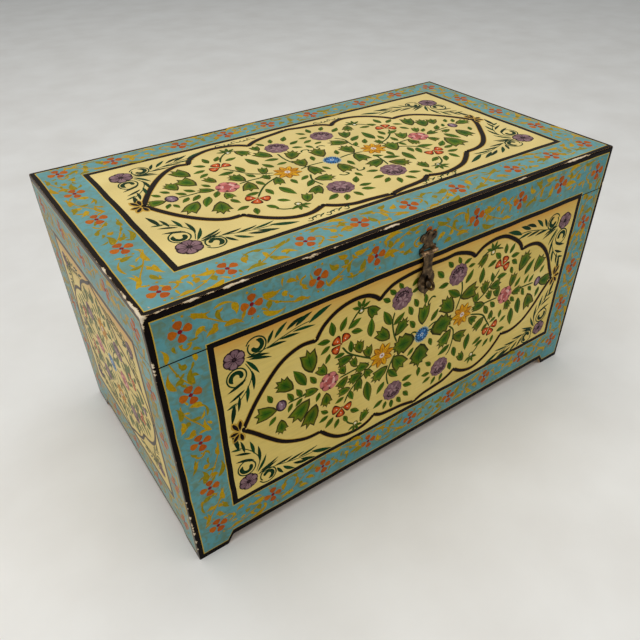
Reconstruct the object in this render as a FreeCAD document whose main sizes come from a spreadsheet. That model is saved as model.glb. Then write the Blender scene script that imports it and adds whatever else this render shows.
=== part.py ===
"""A painted wooden trunk with a box lid, two back hinges and a hasp over a staple.

Millimetres, +X along the front to the right, +Y to the back, +Z up.
The origin is on the floor, under the middle of the overall size.
"""
import FreeCAD, Part
import math
import os

import Sketcher

Vector = FreeCAD.Vector
Z_AXIS = Vector(0, 0, 1)

SIZES = [
    ("trunk_length", 720, "outside of case and lid, left to right"),
    ("trunk_depth", 397, "outside of case and lid, front to back"),
    ("case_height", 333, "floor to the seam under the lid"),
    ("lid_height", 65, "seam to the top of the lid"),
    ("front_shift", 6.6, "how far the boxes sit behind the middle, as the hasp reaches out further"),
    ("wall_board", 14, "thickness of the case and lid walls"),
    ("corner_lap", 5, "what the rebate leaves of a long board over a short board's end"),
    ("lid_board", 12, "thickness of the lid's top board"),
    ("arris", 1.5, "rounding of the outside corners"),
    ("lid_arris", 2.5, "rounding of the lid's top edges"),
    ("foot_width", 42, "foot on the floor, from the trunk's corner"),
    ("foot_slope", 9, "run of the slope between a foot and the cut-out"),
    ("foot_rise", 15, "height of the cut-out between the feet"),
    ("foot_round", 3.5, "rounding of the foot's profile"),
    ("cleat_low", 22, "floor to the underside of the cleats"),
    ("cleat_tall", 14, "height of a cleat"),
    ("cleat_deep", 16, "how far a cleat stands in from its wall"),
    ("cleat_bevel", 5, "bevel along a cleat's lower inner edge"),
    ("bottom_board", 9, "thickness of the bottom board"),
    ("bottom_gap", 0.5, "play between the bottom board and the walls"),
    ("block_side", 30, "side of the glue block inside a foot"),
    ("block_end", 8, "short face at each end of a glue block"),
    ("hinge_from_middle", 230, "middle of the trunk to the middle of a hinge"),
    ("hinge_long", 50, "length of a hinge along its pin"),
    ("leaf_tall", 24, "pin to the far edge of a hinge leaf"),
    ("leaf_thick", 1.5, "thickness of a hinge leaf"),
    ("knuckle", 3.0, "outside radius of a hinge knuckle"),
    ("knuckle_gap", 0.6, "space between neighbouring knuckles, or a knuckle and a leaf"),
    ("hinge_stand", 3.6, "board face to the axis of a hinge or hasp pin"),
    ("pin_radius", 1.5, "radius of a hinge or hasp pin"),
    ("pin_play", 0.05, "running clearance round a pin"),
    ("screw_shank", 1.3, "radius of a screw below its head"),
    ("screw_head", 2.5, "radius of its head"),
    ("screw_rise", 1.1, "height of the head"),
    ("screw_long", 11, "length of a screw below its head"),
    ("screw_play", 0.05, "play round a screw or nail in its hole"),
    ("screw_from_middle", 15, "middle of a leaf to each of its two screws"),
    ("screw_row", 15, "pin to the row of screws"),
    ("hasp_rise", 12, "seam to the axis of the hasp's pin"),
    ("hasp_width", 27, "width of the hasp plate's shoulders"),
    ("plate_thick", 1.6, "thickness of the hasp's brass"),
    ("plate_low", 4.0, "axis to the lower edge of the hasp plate"),
    ("strap_width", 17, "width of the strap under its knuckle"),
    ("strap_leaf", 26, "width of the strap's leaf-shaped end"),
    ("strap_long", 67, "axis to the point of the strap"),
    ("strap_knuckle", 13, "length of the strap's knuckle"),
    ("slot_from_axis", 44, "axis to the middle of the strap's slot"),
    ("slot_long", 21, "length of the slot"),
    ("slot_wide", 5.4, "width of the slot"),
    ("eye_radius", 8.5, "outside radius of the staple's eye"),
    ("eye_hole", 5.3, "radius of the hole for a padlock"),
    ("eye_thick", 3.4, "thickness of the eye"),
    ("eye_bevel", 1.0, "bevel round the eye's rims"),
    ("eye_stand", 11.3, "board face to the middle of the eye"),
    ("eye_shank", 3.0, "side of the eye's square shank"),
    ("eye_shank_long", 10, "length of shank in the board"),
    ("staple_plate_thick", 1.0, "thickness of the plate under the strap"),
    ("staple_plate_wide", 16, "width of that plate"),
    ("staple_plate_tall", 32, "height of that plate"),
    ("nail_side", 1.5, "side of a nail's square shank"),
    ("nail_head", 1.9, "radius of its head"),
    ("nail_rise", 0.8, "height of the head"),
    ("nail_long", 9, "length of a nail in the wood"),
]

doc = FreeCAD.newDocument("painted_trunk")
sheet = doc.addObject("Spreadsheet::Sheet", "sizes")
for row, (alias, value, meaning) in enumerate(SIZES, start=1):
    sheet.set("A%d" % row, str(value))
    sheet.setAlias("A%d" % row, alias)
    sheet.set("B%d" % row, meaning)
doc.recompute()

PARTS = []


def mm(expression):
    """The present value of an expression of the named sizes."""
    return float(sheet.evalExpression(str(expression)))


def bind(thing, **expressions):
    """Tie properties of an object to expressions; a double underscore stands for a dot."""
    for name, expression in expressions.items():
        thing.setExpression(name.replace("__", "."), str(expression))


def place(thing, x="0", y="0", z="0", turn=0, tilt_axis=Z_AXIS):
    """Put an object at x, y, z, turned by so many degrees about an axis through there."""
    thing.Placement = FreeCAD.Placement(
        Vector(mm(x), mm(y), mm(z)), FreeCAD.Rotation(tilt_axis, turn))
    bind(thing, Placement__Base__x=x, Placement__Base__y=y, Placement__Base__z=z)


def keep(thing, node):
    """Name a finished piece and put it on the list of those to write out."""
    thing.Label = node
    PARTS.append(thing)
    return thing


FRONT_Y = "sizes.front_shift - sizes.trunk_depth / 2"
BACK_Y = "sizes.front_shift + sizes.trunk_depth / 2"
SIDES = {
    "front": ("0", FRONT_Y, 0),
    "back": ("0", BACK_Y, 180),
    "left": ("-sizes.trunk_length / 2", "sizes.front_shift", -90),
    "right": ("sizes.trunk_length / 2", "sizes.front_shift", 90),
}


def body_on(side, name, z="0", x="0"):
    """A body whose local XZ plane is the trunk's outer face on a side, with -Y pointing outwards."""
    side_x, side_y, turn = SIDES[side]
    body = doc.addObject("PartDesign::Body", name)
    place(body, "%s + %s" % (side_x, x), side_y, z, turn)
    return body


def plane_of(body, role):
    """One of the body's own origin planes."""
    return next(item for item in body.Origin.OriginFeatures if item.Role == role)


def new_sketch(body, name, role="XZ_Plane"):
    """An empty sketch on one of the body's origin planes."""
    sketch = body.newObject("Sketcher::SketchObject", name)
    sketch.AttachmentSupport = [(plane_of(body, role), "")]
    sketch.MapMode = "FlatFace"
    return sketch


def pin_point(sketch, geometry, point, x, y):
    """Fix a point of a sketch at x, y from the sketch's origin, by expressions."""
    for kind, expression in (("DistanceX", x), ("DistanceY", y)):
        number = sketch.addConstraint(
            Sketcher.Constraint(kind, -1, 1, geometry, point, mm(expression)))
        bind(sketch, **{"Constraints[%d]" % number: expression})


HALF_ROUND = "half round"


def closed_outline(sketch, corners):
    """Join corners into a closed outline.

    A corner is (x, y) or (x, y, radius, bulge): the second form carries an arc of that radius
    to the next corner, or half a circle where the radius is HALF_ROUND. bulge is +1 where the
    arc swells to the left of the straight way, seen from the first corner, -1 where it swells
    to the right, and +2 or -2 for the longer of the two arcs.
    """
    start = len(sketch.Geometry)
    spots = [Vector(mm(corner[0]), mm(corner[1]), 0) for corner in corners]
    count = len(corners)
    first_end = []
    for index, corner in enumerate(corners):
        here = spots[index]
        there = spots[(index + 1) % count]
        if len(corner) == 2:
            sketch.addGeometry(Part.LineSegment(here, there), False)
            first_end.append((1, 2))
            continue
        bulge = corner[3]
        chord = there - here
        half_round = corner[2] == HALF_ROUND
        radius = chord.Length / 2 if half_round else mm(corner[2])
        left = Vector(-chord.y, chord.x, 0).normalize()
        off = math.sqrt(max(radius ** 2 - (chord.Length / 2) ** 2, 0.0))
        side = 1 if bulge > 0 else -1
        inward = -side if abs(bulge) == 1 else side
        centre = (here + there) * 0.5 + left * (off * inward)
        angle_here = math.atan2(here.y - centre.y, here.x - centre.x)
        angle_there = math.atan2(there.y - centre.y, there.x - centre.x)
        circle = Part.Circle(centre, Z_AXIS, radius)
        if side > 0:
            sketch.addGeometry(Part.ArcOfCircle(circle, angle_there, angle_here), False)
            first_end.append((2, 1))
        else:
            sketch.addGeometry(Part.ArcOfCircle(circle, angle_here, angle_there), False)
            first_end.append((1, 2))
        if half_round:
            sketch.addConstraint(Sketcher.Constraint(
                "Symmetric", start + index, 1, start + index, 2, start + index, 3))
            continue
        number = sketch.addConstraint(Sketcher.Constraint("Radius", start + index, radius))
        bind(sketch, **{"Constraints[%d]" % number: corner[2]})
    for index, corner in enumerate(corners):
        following = (index + 1) % count
        sketch.addConstraint(Sketcher.Constraint(
            "Coincident", start + index, first_end[index][1],
            start + following, first_end[following][0]))
        pin_point(sketch, start + index, first_end[index][0], corner[0], corner[1])


def rectangle(x_low, x_high, y_low, y_high):
    """The corners of an upright rectangle."""
    return [(x_low, y_low), (x_high, y_low), (x_high, y_high), (x_low, y_high)]


def mirrored(right_side):
    """A closed outline from its right half, given from the bottom up, and its mirror image.

    An arc leaves the corner that it is written on, so in the mirror image it is written on the
    corner at its other end; it turns to the same side there, because the way is reversed too.
    """
    left_side = []
    for index, corner in reversed(list(enumerate(right_side))):
        on_axis = corner[0] == "0"
        arc = right_side[index - 1][2:] if index > 0 else ()
        if on_axis and index == len(right_side) - 1:
            left_side.append(("0", corner[1]) + arc)
        elif not on_axis:
            left_side.append(("-(%s)" % corner[0], corner[1]) + arc)
    whole = list(right_side)
    if right_side[-1][0] == "0":
        whole = whole[:-1]
    return whole + left_side


def circle(sketch, x, y, radius):
    """A circle in a sketch, its centre and radius bound to expressions."""
    number = sketch.addGeometry(Part.Circle(Vector(mm(x), mm(y), 0), Z_AXIS, mm(radius)), False)
    pin_point(sketch, number, 3, x, y)
    constraint = sketch.addConstraint(Sketcher.Constraint("Radius", number, mm(radius)))
    bind(sketch, **{"Constraints[%d]" % constraint: radius})


def pad(body, sketch, length, inward=False, both_ways=False):
    """Thicken a sketch. Outwards is along the sketch plane's own normal."""
    feature = body.newObject("PartDesign::Pad", sketch.Name + "_pad")
    feature.Profile = sketch
    feature.Length = mm(length)
    feature.Reversed = inward
    feature.Midplane = both_ways
    bind(feature, Length=length)
    doc.recompute()
    return feature


def pocket(body, sketch, depth=None, towards_normal=False):
    """Cut a sketch into the body: to a depth, or right through both ways."""
    before = body.Shape.Volume
    feature = body.newObject("PartDesign::Pocket", sketch.Name + "_cut")
    feature.Profile = sketch
    if depth is None:
        feature.Type = "ThroughAll"
        feature.Midplane = True
    else:
        feature.Length = mm(depth)
        feature.Reversed = towards_normal
        bind(feature, Length=depth)
    doc.recompute()
    if body.Shape.Volume > before - 1e-3:
        raise RuntimeError("%s cuts nothing" % feature.Name)
    return feature


def chosen_edges(shape, wanted):
    """Names of the edges of a shape that pass the test, which gets an edge and its middle point."""
    names = []
    for number, edge in enumerate(shape.Edges, start=1):
        middle = edge.valueAt((edge.FirstParameter + edge.LastParameter) / 2)
        if wanted(edge, middle):
            names.append("Edge%d" % number)
    if not names:
        raise RuntimeError("no edge passes the test")
    return names


def round_edges(body, radius, wanted):
    """Fillet the edges that pass the test."""
    base = body.Tip
    names = chosen_edges(base.Shape, wanted)
    feature = body.newObject("PartDesign::Fillet", "%s_round%d" % (body.Name, len(body.Group)))
    feature.Base = (base, names)
    feature.Radius = mm(radius)
    bind(feature, Radius=radius)
    doc.recompute()
    return feature


def bevel_edges(body, size, wanted):
    """Chamfer the edges that pass the test."""
    base = body.Tip
    names = chosen_edges(base.Shape, wanted)
    feature = body.newObject("PartDesign::Chamfer", "%s_bevel%d" % (body.Name, len(body.Group)))
    feature.Base = (base, names)
    feature.Size = mm(size)
    bind(feature, Size=size)
    doc.recompute()
    return feature


def near(value, target):
    """True where two lengths agree to a hundredth of a millimetre."""
    return abs(value - target) < 0.01


def is_parallel(edge, direction):
    """True for a straight edge along a direction."""
    if edge.Curve.TypeId != "Part::GeomLine":
        return False
    return abs(edge.tangentAt(edge.FirstParameter).dot(direction)) > 0.999


def bore_holes(body, name, spots, radius, depth):
    """Blind round holes into a wall board from its outer face, at (x, z) spots."""
    sketch = new_sketch(body, name)
    for x, z in spots:
        circle(sketch, x, z, radius)
    pocket(body, sketch, depth)


def square_holes(body, name, spots, half, depth=None):
    """Square holes of a half width at (x, z) spots: blind in a board, or through a plate."""
    sketch = new_sketch(body, name)
    for x, z in spots:
        closed_outline(sketch, rectangle(
            "%s - %s" % (x, half), "%s + %s" % (x, half),
            "%s - %s" % (z, half), "%s + %s" % (z, half)))
    pocket(body, sketch, depth)


def wall_board(side, part_of, with_feet, height, z="0"):
    """One wall of the case or lid: a board, with feet cut in its lower edge if asked.

    The long boards lap over the short ones: a rebate at each end takes the short board's end.
    """
    is_long = side in ("front", "back")
    body = body_on(side, "%s_%s" % (part_of, side), z)
    half = "sizes.trunk_length / 2" if is_long else "(sizes.trunk_depth / 2 - sizes.corner_lap)"
    foot = "sizes.foot_width" if is_long else "(sizes.foot_width - sizes.corner_lap)"
    outline = new_sketch(body, body.Name + "_outline")
    if with_feet:
        floor_end = "%s - %s" % (half, foot)
        slope_end = "%s - sizes.foot_slope" % floor_end
        closed_outline(outline, [
            ("-" + half, "0"), ("-(%s)" % floor_end, "0"), ("-(%s)" % slope_end, "sizes.foot_rise"),
            (slope_end, "sizes.foot_rise"), (floor_end, "0"), (half, "0"),
            (half, height), ("-" + half, height)])
    else:
        closed_outline(outline, rectangle("-" + half, half, "0", height))
    pad(body, outline, "sizes.wall_board", inward=True)
    if is_long:
        rebates = new_sketch(body, body.Name + "_rebates", "XY_Plane")
        inner = "sizes.trunk_length / 2 - sizes.wall_board"
        beyond = "sizes.trunk_length / 2 + 1"
        closed_outline(rebates, rectangle(
            inner, beyond, "sizes.corner_lap", "sizes.wall_board + 1"))
        closed_outline(rebates, rectangle(
            "-(%s)" % beyond, "-(%s)" % inner, "sizes.corner_lap", "sizes.wall_board + 1"))
        pocket(body, rebates)
        round_edges(body, "sizes.arris", lambda edge, middle: is_parallel(edge, Z_AXIS)
                    and near(abs(middle.x), mm("sizes.trunk_length / 2")) and near(middle.y, 0))
    if with_feet:
        ends = (mm(floor_end), mm(slope_end))
        round_edges(body, "sizes.foot_round", lambda edge, middle: is_parallel(edge, Vector(0, 1, 0))
                    and any(near(abs(middle.x), end) for end in ends))
    return body


HINGE_SIDES = ("-1", "1")
SCREW_SIDES = ("-1", "1")


def screw_spots(up):
    """Where the screws of both hinges meet the back, in the back's own x and above its base."""
    return [("%s * sizes.hinge_from_middle + %s * sizes.screw_from_middle" % (side, screw), up)
            for side in HINGE_SIDES for screw in SCREW_SIDES]


NAIL_SPOTS = [("-8.2", "20.6"), ("8.2", "20.6"), ("0", "25")]
STAPLE_Z = "sizes.case_height + sizes.hasp_rise - sizes.slot_from_axis"
STAPLE_NAIL_OUT = "sizes.staple_plate_tall / 2 - 4"
SCREW_HOLE = "sizes.screw_shank + sizes.screw_play"
NAIL_HALF = "(sizes.nail_side / 2 + sizes.screw_play)"
EYE_HALF = "(sizes.eye_shank / 2 + sizes.screw_play)"
SCREW_DEPTH = "sizes.screw_long - sizes.leaf_thick + 0.3"
NAIL_DEPTH = "sizes.nail_long + 0.3"


def make_case():
    """The four walls on their feet, and the bottom on its cleats."""
    front = wall_board("front", "case", True, "sizes.case_height")
    square_holes(front, "shank_hole", [("0", STAPLE_Z)], EYE_HALF, "sizes.eye_shank_long + 0.3")
    square_holes(front, "staple_nail_holes",
                 [("0", "%s + %s" % (STAPLE_Z, STAPLE_NAIL_OUT)),
                  ("0", "%s - (%s)" % (STAPLE_Z, STAPLE_NAIL_OUT))], NAIL_HALF, NAIL_DEPTH)
    keep(front, "front_board")
    back = wall_board("back", "case", True, "sizes.case_height")
    bore_holes(back, "case_screw_holes", screw_spots("sizes.case_height - sizes.screw_row"),
               SCREW_HOLE, SCREW_DEPTH)
    keep(back, "back_board")
    keep(wall_board("left", "case", True, "sizes.case_height"), "left_end_board")
    keep(wall_board("right", "case", True, "sizes.case_height"), "right_end_board")

    for side in SIDES:
        keep(make_cleat(side), side + "_cleat")

    bottom = doc.addObject("PartDesign::Body", "bottom")
    place(bottom, "0", "sizes.front_shift", "sizes.cleat_low + sizes.cleat_tall")
    sheet_outline = new_sketch(bottom, "bottom_outline", "XY_Plane")
    half_x = "sizes.trunk_length / 2 - sizes.wall_board - sizes.bottom_gap"
    half_y = "sizes.trunk_depth / 2 - sizes.wall_board - sizes.bottom_gap"
    closed_outline(sheet_outline, rectangle(
        "-(%s)" % half_x, half_x, "-(%s)" % half_y, half_y))
    pad(bottom, sheet_outline, "sizes.bottom_board")
    keep(bottom, "bottom_board")
    keep(make_foot_blocks(), "foot_blocks")


def make_cleat(side):
    """A strip glued along a wall to carry the bottom, bevelled along its lower inner edge."""
    is_long = side in ("front", "back")
    body = body_on(side, side + "_cleat_body", "sizes.cleat_low")
    profile = new_sketch(body, body.Name + "_profile", "YZ_Plane")
    wall = "sizes.wall_board"
    inner = "sizes.wall_board + sizes.cleat_deep"
    closed_outline(profile, [
        (wall, "0"), ("%s - sizes.cleat_bevel" % inner, "0"), (inner, "sizes.cleat_bevel"),
        (inner, "sizes.cleat_tall"), (wall, "sizes.cleat_tall")])
    across = "sizes.trunk_length" if is_long else "(sizes.trunk_depth - 2 * sizes.cleat_deep - 1)"
    pad(body, profile, "%s - 2 * sizes.wall_board" % across, both_ways=True)
    return body


def make_foot_blocks():
    """Four three-cornered glue blocks, one inside each foot, as one group."""
    blocks = []
    for index, (x_way, y_way) in enumerate(((-1, -1), (1, -1), (1, 1), (-1, 1))):
        body = doc.addObject("PartDesign::Body", "foot_block_%d" % index)
        corner_x = "%d * (sizes.trunk_length / 2 - sizes.wall_board)" % x_way
        corner_y = "sizes.front_shift + %d * (sizes.trunk_depth / 2 - sizes.wall_board)" % y_way
        place(body, corner_x, corner_y, "1", index * 90)
        outline = new_sketch(body, body.Name + "_outline", "XY_Plane")
        closed_outline(outline, [
            ("0", "0"), ("sizes.block_side", "0"), ("sizes.block_side", "sizes.block_end"),
            ("sizes.block_end", "sizes.block_side"), ("0", "sizes.block_side")])
        pad(body, outline, "sizes.cleat_low - 1")
        blocks.append(body)
    group = doc.addObject("Part::Compound", "foot_block_group")
    group.Links = blocks
    return group


def make_lid():
    """The lid: four rails joined like the case's walls, and a top board over them."""
    rail = "sizes.lid_height - sizes.lid_board"
    front = wall_board("front", "lid", False, rail, "sizes.case_height")
    square_holes(front, "plate_nail_holes",
                 [(x, "sizes.hasp_rise + %s" % z) for x, z in NAIL_SPOTS], NAIL_HALF, NAIL_DEPTH)
    keep(front, "lid_front_rail")
    back = wall_board("back", "lid", False, rail, "sizes.case_height")
    bore_holes(back, "lid_screw_holes", screw_spots("sizes.screw_row"), SCREW_HOLE, SCREW_DEPTH)
    keep(back, "lid_back_rail")
    keep(wall_board("left", "lid", False, rail, "sizes.case_height"), "lid_left_rail")
    keep(wall_board("right", "lid", False, rail, "sizes.case_height"), "lid_right_rail")

    top = doc.addObject("PartDesign::Body", "lid_top")
    place(top, "0", "sizes.front_shift", "sizes.case_height + %s" % rail)
    outline = new_sketch(top, "lid_top_outline", "XY_Plane")
    closed_outline(outline, rectangle("-sizes.trunk_length / 2", "sizes.trunk_length / 2",
                                      "-sizes.trunk_depth / 2", "sizes.trunk_depth / 2"))
    pad(top, outline, "sizes.lid_board")
    round_edges(top, "sizes.arris", lambda edge, middle: is_parallel(edge, Z_AXIS))
    round_edges(top, "sizes.lid_arris",
                lambda edge, middle: near(middle.z, mm("sizes.lid_board")))
    keep(top, "lid_top_board")


def barrel(body, name, spans, x_middle="0"):
    """Knuckles round the pin's axis: rings along X over the given spans, before they are bored."""
    for number, (low, high) in enumerate(spans):
        disc = new_sketch(body, "%s_%s_%d" % (body.Name, name, number), "YZ_Plane")
        circle(disc, "-sizes.hinge_stand", "0", "sizes.knuckle")
        disc.AttachmentOffset.Base.z = mm(low)
        bind(disc, AttachmentOffset__Base__z="%s + %s" % (x_middle, low))
        doc.recompute()
        pad(body, disc, "(%s) - (%s)" % (high, low))


def bore_barrel(body):
    """The hole for the pin, through every knuckle of a body."""
    hole = new_sketch(body, body.Name + "_pin_hole", "YZ_Plane")
    circle(hole, "-sizes.hinge_stand", "0", "sizes.pin_radius + sizes.pin_play")
    pocket(body, hole)


KNUCKLES = 3


def hinge_spans(first):
    """Spans of every second knuckle of a hinge, from its middle; first is 0 or 1."""
    step = "(sizes.hinge_long / %d)" % KNUCKLES
    spans = []
    for number in range(first, KNUCKLES, 2):
        low = "-sizes.hinge_long / 2 + %d * %s" % (number, step)
        if number > 0:
            low += " + sizes.knuckle_gap / 2"
        high = "-sizes.hinge_long / 2 + %d * %s" % (number + 1, step)
        if number < KNUCKLES - 1:
            high += " - sizes.knuckle_gap / 2"
        spans.append((low, high))
    return spans


def make_leaf(name, x_middle, up, first_knuckle):
    """One hinge leaf on the back: a plate cut back round the other leaf's knuckles.

    up is 1 for the lid's leaf, which rises from the pin, and -1 for the case's leaf.
    """
    body = body_on("back", name + "_body", "sizes.case_height", x_middle)
    clear = "(sizes.knuckle + sizes.knuckle_gap)"
    own = hinge_spans(first_knuckle)
    edge = "sizes.hinge_long / 2"
    far = "%d * sizes.leaf_tall" % up
    near_edge = "%d * %s" % (up, clear)
    plate = new_sketch(body, body.Name + "_plate")
    closed_outline(plate, rectangle("-" + edge, edge, near_edge, far) if up > 0
                   else rectangle("-" + edge, edge, far, near_edge))
    pad(body, plate, "sizes.leaf_thick")
    tongues = new_sketch(body, body.Name + "_tongues")
    for low, high in own:
        reach = "%d * (%s + 0.5)" % (up, clear)
        closed_outline(tongues, rectangle(low, high, "0", reach) if up > 0
                       else rectangle(low, high, reach, "0"))
    pad(body, tongues, "sizes.leaf_thick")
    barrel(body, "knuckle", own)
    bore_barrel(body)
    row = "%d * sizes.screw_row" % up
    holes = new_sketch(body, body.Name + "_screw_holes")
    for screw in SCREW_SIDES:
        circle(holes, "%s * sizes.screw_from_middle" % screw, row, SCREW_HOLE)
    pocket(body, holes)
    return body


def make_pin(name, long, x, y, z):
    """A hinge pin: a round bar along X, centred on x."""
    pin = doc.addObject("Part::Cylinder", name)
    bind(pin, Radius="sizes.pin_radius", Height=long)
    place(pin, "%s - (%s) / 2" % (x, long), y, z, 90, Vector(0, 1, 0))
    return pin


def make_screw(name, x, z):
    """A wood screw in the back, its low head on the leaf."""
    shank = doc.addObject("Part::Cylinder", name + "_shank")
    bind(shank, Radius="sizes.screw_shank", Height="sizes.screw_long")
    place(shank, x, "%s + sizes.leaf_thick - sizes.screw_long" % BACK_Y, z, -90, Vector(1, 0, 0))
    head = doc.addObject("Part::Cylinder", name + "_head")
    bind(head, Radius="sizes.screw_head", Height="sizes.screw_rise")
    place(head, x, BACK_Y + " + sizes.leaf_thick", z, -90, Vector(1, 0, 0))
    screw = doc.addObject("Part::Fuse", name)
    screw.Base = shank
    screw.Tool = head
    return screw


def group_of(name, pieces):
    """Separate solids kept together in one node."""
    group = doc.addObject("Part::Compound", name + "_group")
    group.Links = pieces
    return keep(group, name)


def make_hinges():
    """Two surface butt hinges on the back: a leaf on the case, a leaf on the lid, and a pin."""
    axis_y = BACK_Y + " + sizes.hinge_stand"
    for label, way in (("left", "-1"), ("right", "1")):
        x_middle = "%s * sizes.hinge_from_middle" % way
        keep(make_leaf(label + "_hinge_case_leaf", x_middle, -1, 0), label + "_hinge_case_leaf")
        keep(make_leaf(label + "_hinge_lid_leaf", x_middle, 1, 1), label + "_hinge_lid_leaf")
        keep(make_pin(label + "_pin_bar", "sizes.hinge_long", x_middle, axis_y,
                      "sizes.case_height"), label + "_hinge_pin")
    for part_of, row in (("case", "-sizes.screw_row"), ("lid", "sizes.screw_row")):
        screws = []
        for x, up in screw_spots(row):
            screws.append(make_screw(part_of + "_screw", x, "sizes.case_height + %s" % up))
        group_of(part_of + "_hinge_screws", screws)


def hasp_plate_outline():
    """The right half of the lid plate: shoulder, waist, side lobe and top lobe, about the pin."""
    shoulder = "sizes.hasp_width / 2"
    return [
        (shoulder, "sizes.plate_low"),
        (shoulder, "6.5", "7.5", 1),
        ("6.6", "12.5"),
        ("8.4", "15.0", "5.6", -2),
        ("5.83", "25.68", "6.2", -1),
    ]


def strap_outline():
    """The right half of the strap, from its point up to its knuckle end."""
    leaf = "sizes.strap_leaf / 2"
    return [
        ("0", "-sizes.strap_long", "9", 1),
        ("3.6", "-60", "17", -1),
        (leaf, "-44", "11", -1),
        ("11.6", "-33.5", "2.6", -1),
        ("9.8", "-30", "9", 1),
        ("8.0", "-24", "60", 1),
        ("sizes.strap_width / 2", "-sizes.knuckle - sizes.knuckle_gap"),
    ]


def square_shank(name, x, z, plate_thick):
    """The square shank of a nail in the front, through a plate and into the wood."""
    shank = doc.addObject("Part::Box", name)
    bind(shank, Length="sizes.nail_side", Height="sizes.nail_side",
         Width="sizes.nail_long + %s" % plate_thick)
    place(shank, "%s - sizes.nail_side / 2" % x, "%s - %s" % (FRONT_Y, plate_thick),
          "%s - sizes.nail_side / 2" % z)
    return shank


def headed_nail(name, x, z):
    """A nail through the hasp plate: a square shank and a low round head."""
    head = doc.addObject("Part::Cylinder", name + "_head")
    bind(head, Radius="sizes.nail_head", Height="sizes.nail_rise")
    place(head, x, FRONT_Y + " - sizes.plate_thick", z, 90, Vector(1, 0, 0))
    whole = doc.addObject("Part::Fuse", name)
    whole.Base = square_shank(name + "_shank", x, z, "sizes.plate_thick")
    whole.Tool = head
    return whole


def make_hasp():
    """The hasp: a plate nailed to the lid, a strap hanging from its pin, and the staple below."""
    axis_z = "sizes.case_height + sizes.hasp_rise"
    knuckle_half = "sizes.strap_knuckle / 2"
    plate = body_on("front", "hasp_plate_body", axis_z)
    face = new_sketch(plate, "hasp_plate_outline")
    closed_outline(face, mirrored(hasp_plate_outline()))
    pad(plate, face, "sizes.plate_thick")
    side_low = "sizes.strap_knuckle / 2 + sizes.knuckle_gap / 2"
    side_high = "sizes.hasp_width / 2"
    spans = [(side_low, side_high), ("-(%s)" % side_high, "-(%s)" % side_low)]
    tongues = new_sketch(plate, "hasp_plate_tongues")
    for low, high in spans:
        closed_outline(tongues, rectangle(low, high, "0", "sizes.plate_low + 0.5"))
    pad(plate, tongues, "sizes.plate_thick")
    barrel(plate, "knuckle", spans)
    bore_barrel(plate)
    square_holes(plate, "hasp_plate_nail_holes", NAIL_SPOTS, NAIL_HALF)
    keep(plate, "hasp_lid_plate")

    strap = body_on("front", "hasp_strap_body", axis_z)
    lay = new_sketch(strap, "hasp_strap_outline")
    closed_outline(lay, mirrored(strap_outline()))
    lay.AttachmentOffset.Base.z = mm("sizes.hinge_stand - sizes.plate_thick / 2")
    bind(lay, AttachmentOffset__Base__z="sizes.hinge_stand - sizes.plate_thick / 2")
    doc.recompute()
    pad(strap, lay, "sizes.plate_thick")
    neck = new_sketch(strap, "hasp_strap_neck")
    closed_outline(neck, rectangle("-" + knuckle_half, knuckle_half,
                                   "-sizes.knuckle - sizes.knuckle_gap - 0.5", "0"))
    bind(neck, AttachmentOffset__Base__z="sizes.hinge_stand - sizes.plate_thick / 2")
    doc.recompute()
    pad(strap, neck, "sizes.plate_thick")
    barrel(strap, "knuckle", [("-" + knuckle_half, knuckle_half)])
    bore_barrel(strap)
    slot = new_sketch(strap, "hasp_strap_slot")
    half_wide = "sizes.slot_wide / 2"
    slot_top = "-sizes.slot_from_axis + sizes.slot_long / 2 - sizes.slot_wide / 2"
    slot_low = "-sizes.slot_from_axis - sizes.slot_long / 2 + sizes.slot_wide / 2"
    closed_outline(slot, [
        (half_wide, slot_low), (half_wide, slot_top, HALF_ROUND, -1),
        ("-" + half_wide, slot_top), ("-" + half_wide, slot_low, HALF_ROUND, -1)])
    pocket(strap, slot)
    keep(strap, "hasp_strap")

    keep(make_pin("hasp_pin_bar", "sizes.hasp_width", "0", FRONT_Y + " - sizes.hinge_stand",
                  axis_z), "hasp_pin")
    group_of("hasp_nails", [headed_nail("hasp_nail", x, "%s + %s" % (axis_z, z))
                            for x, z in NAIL_SPOTS])


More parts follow.
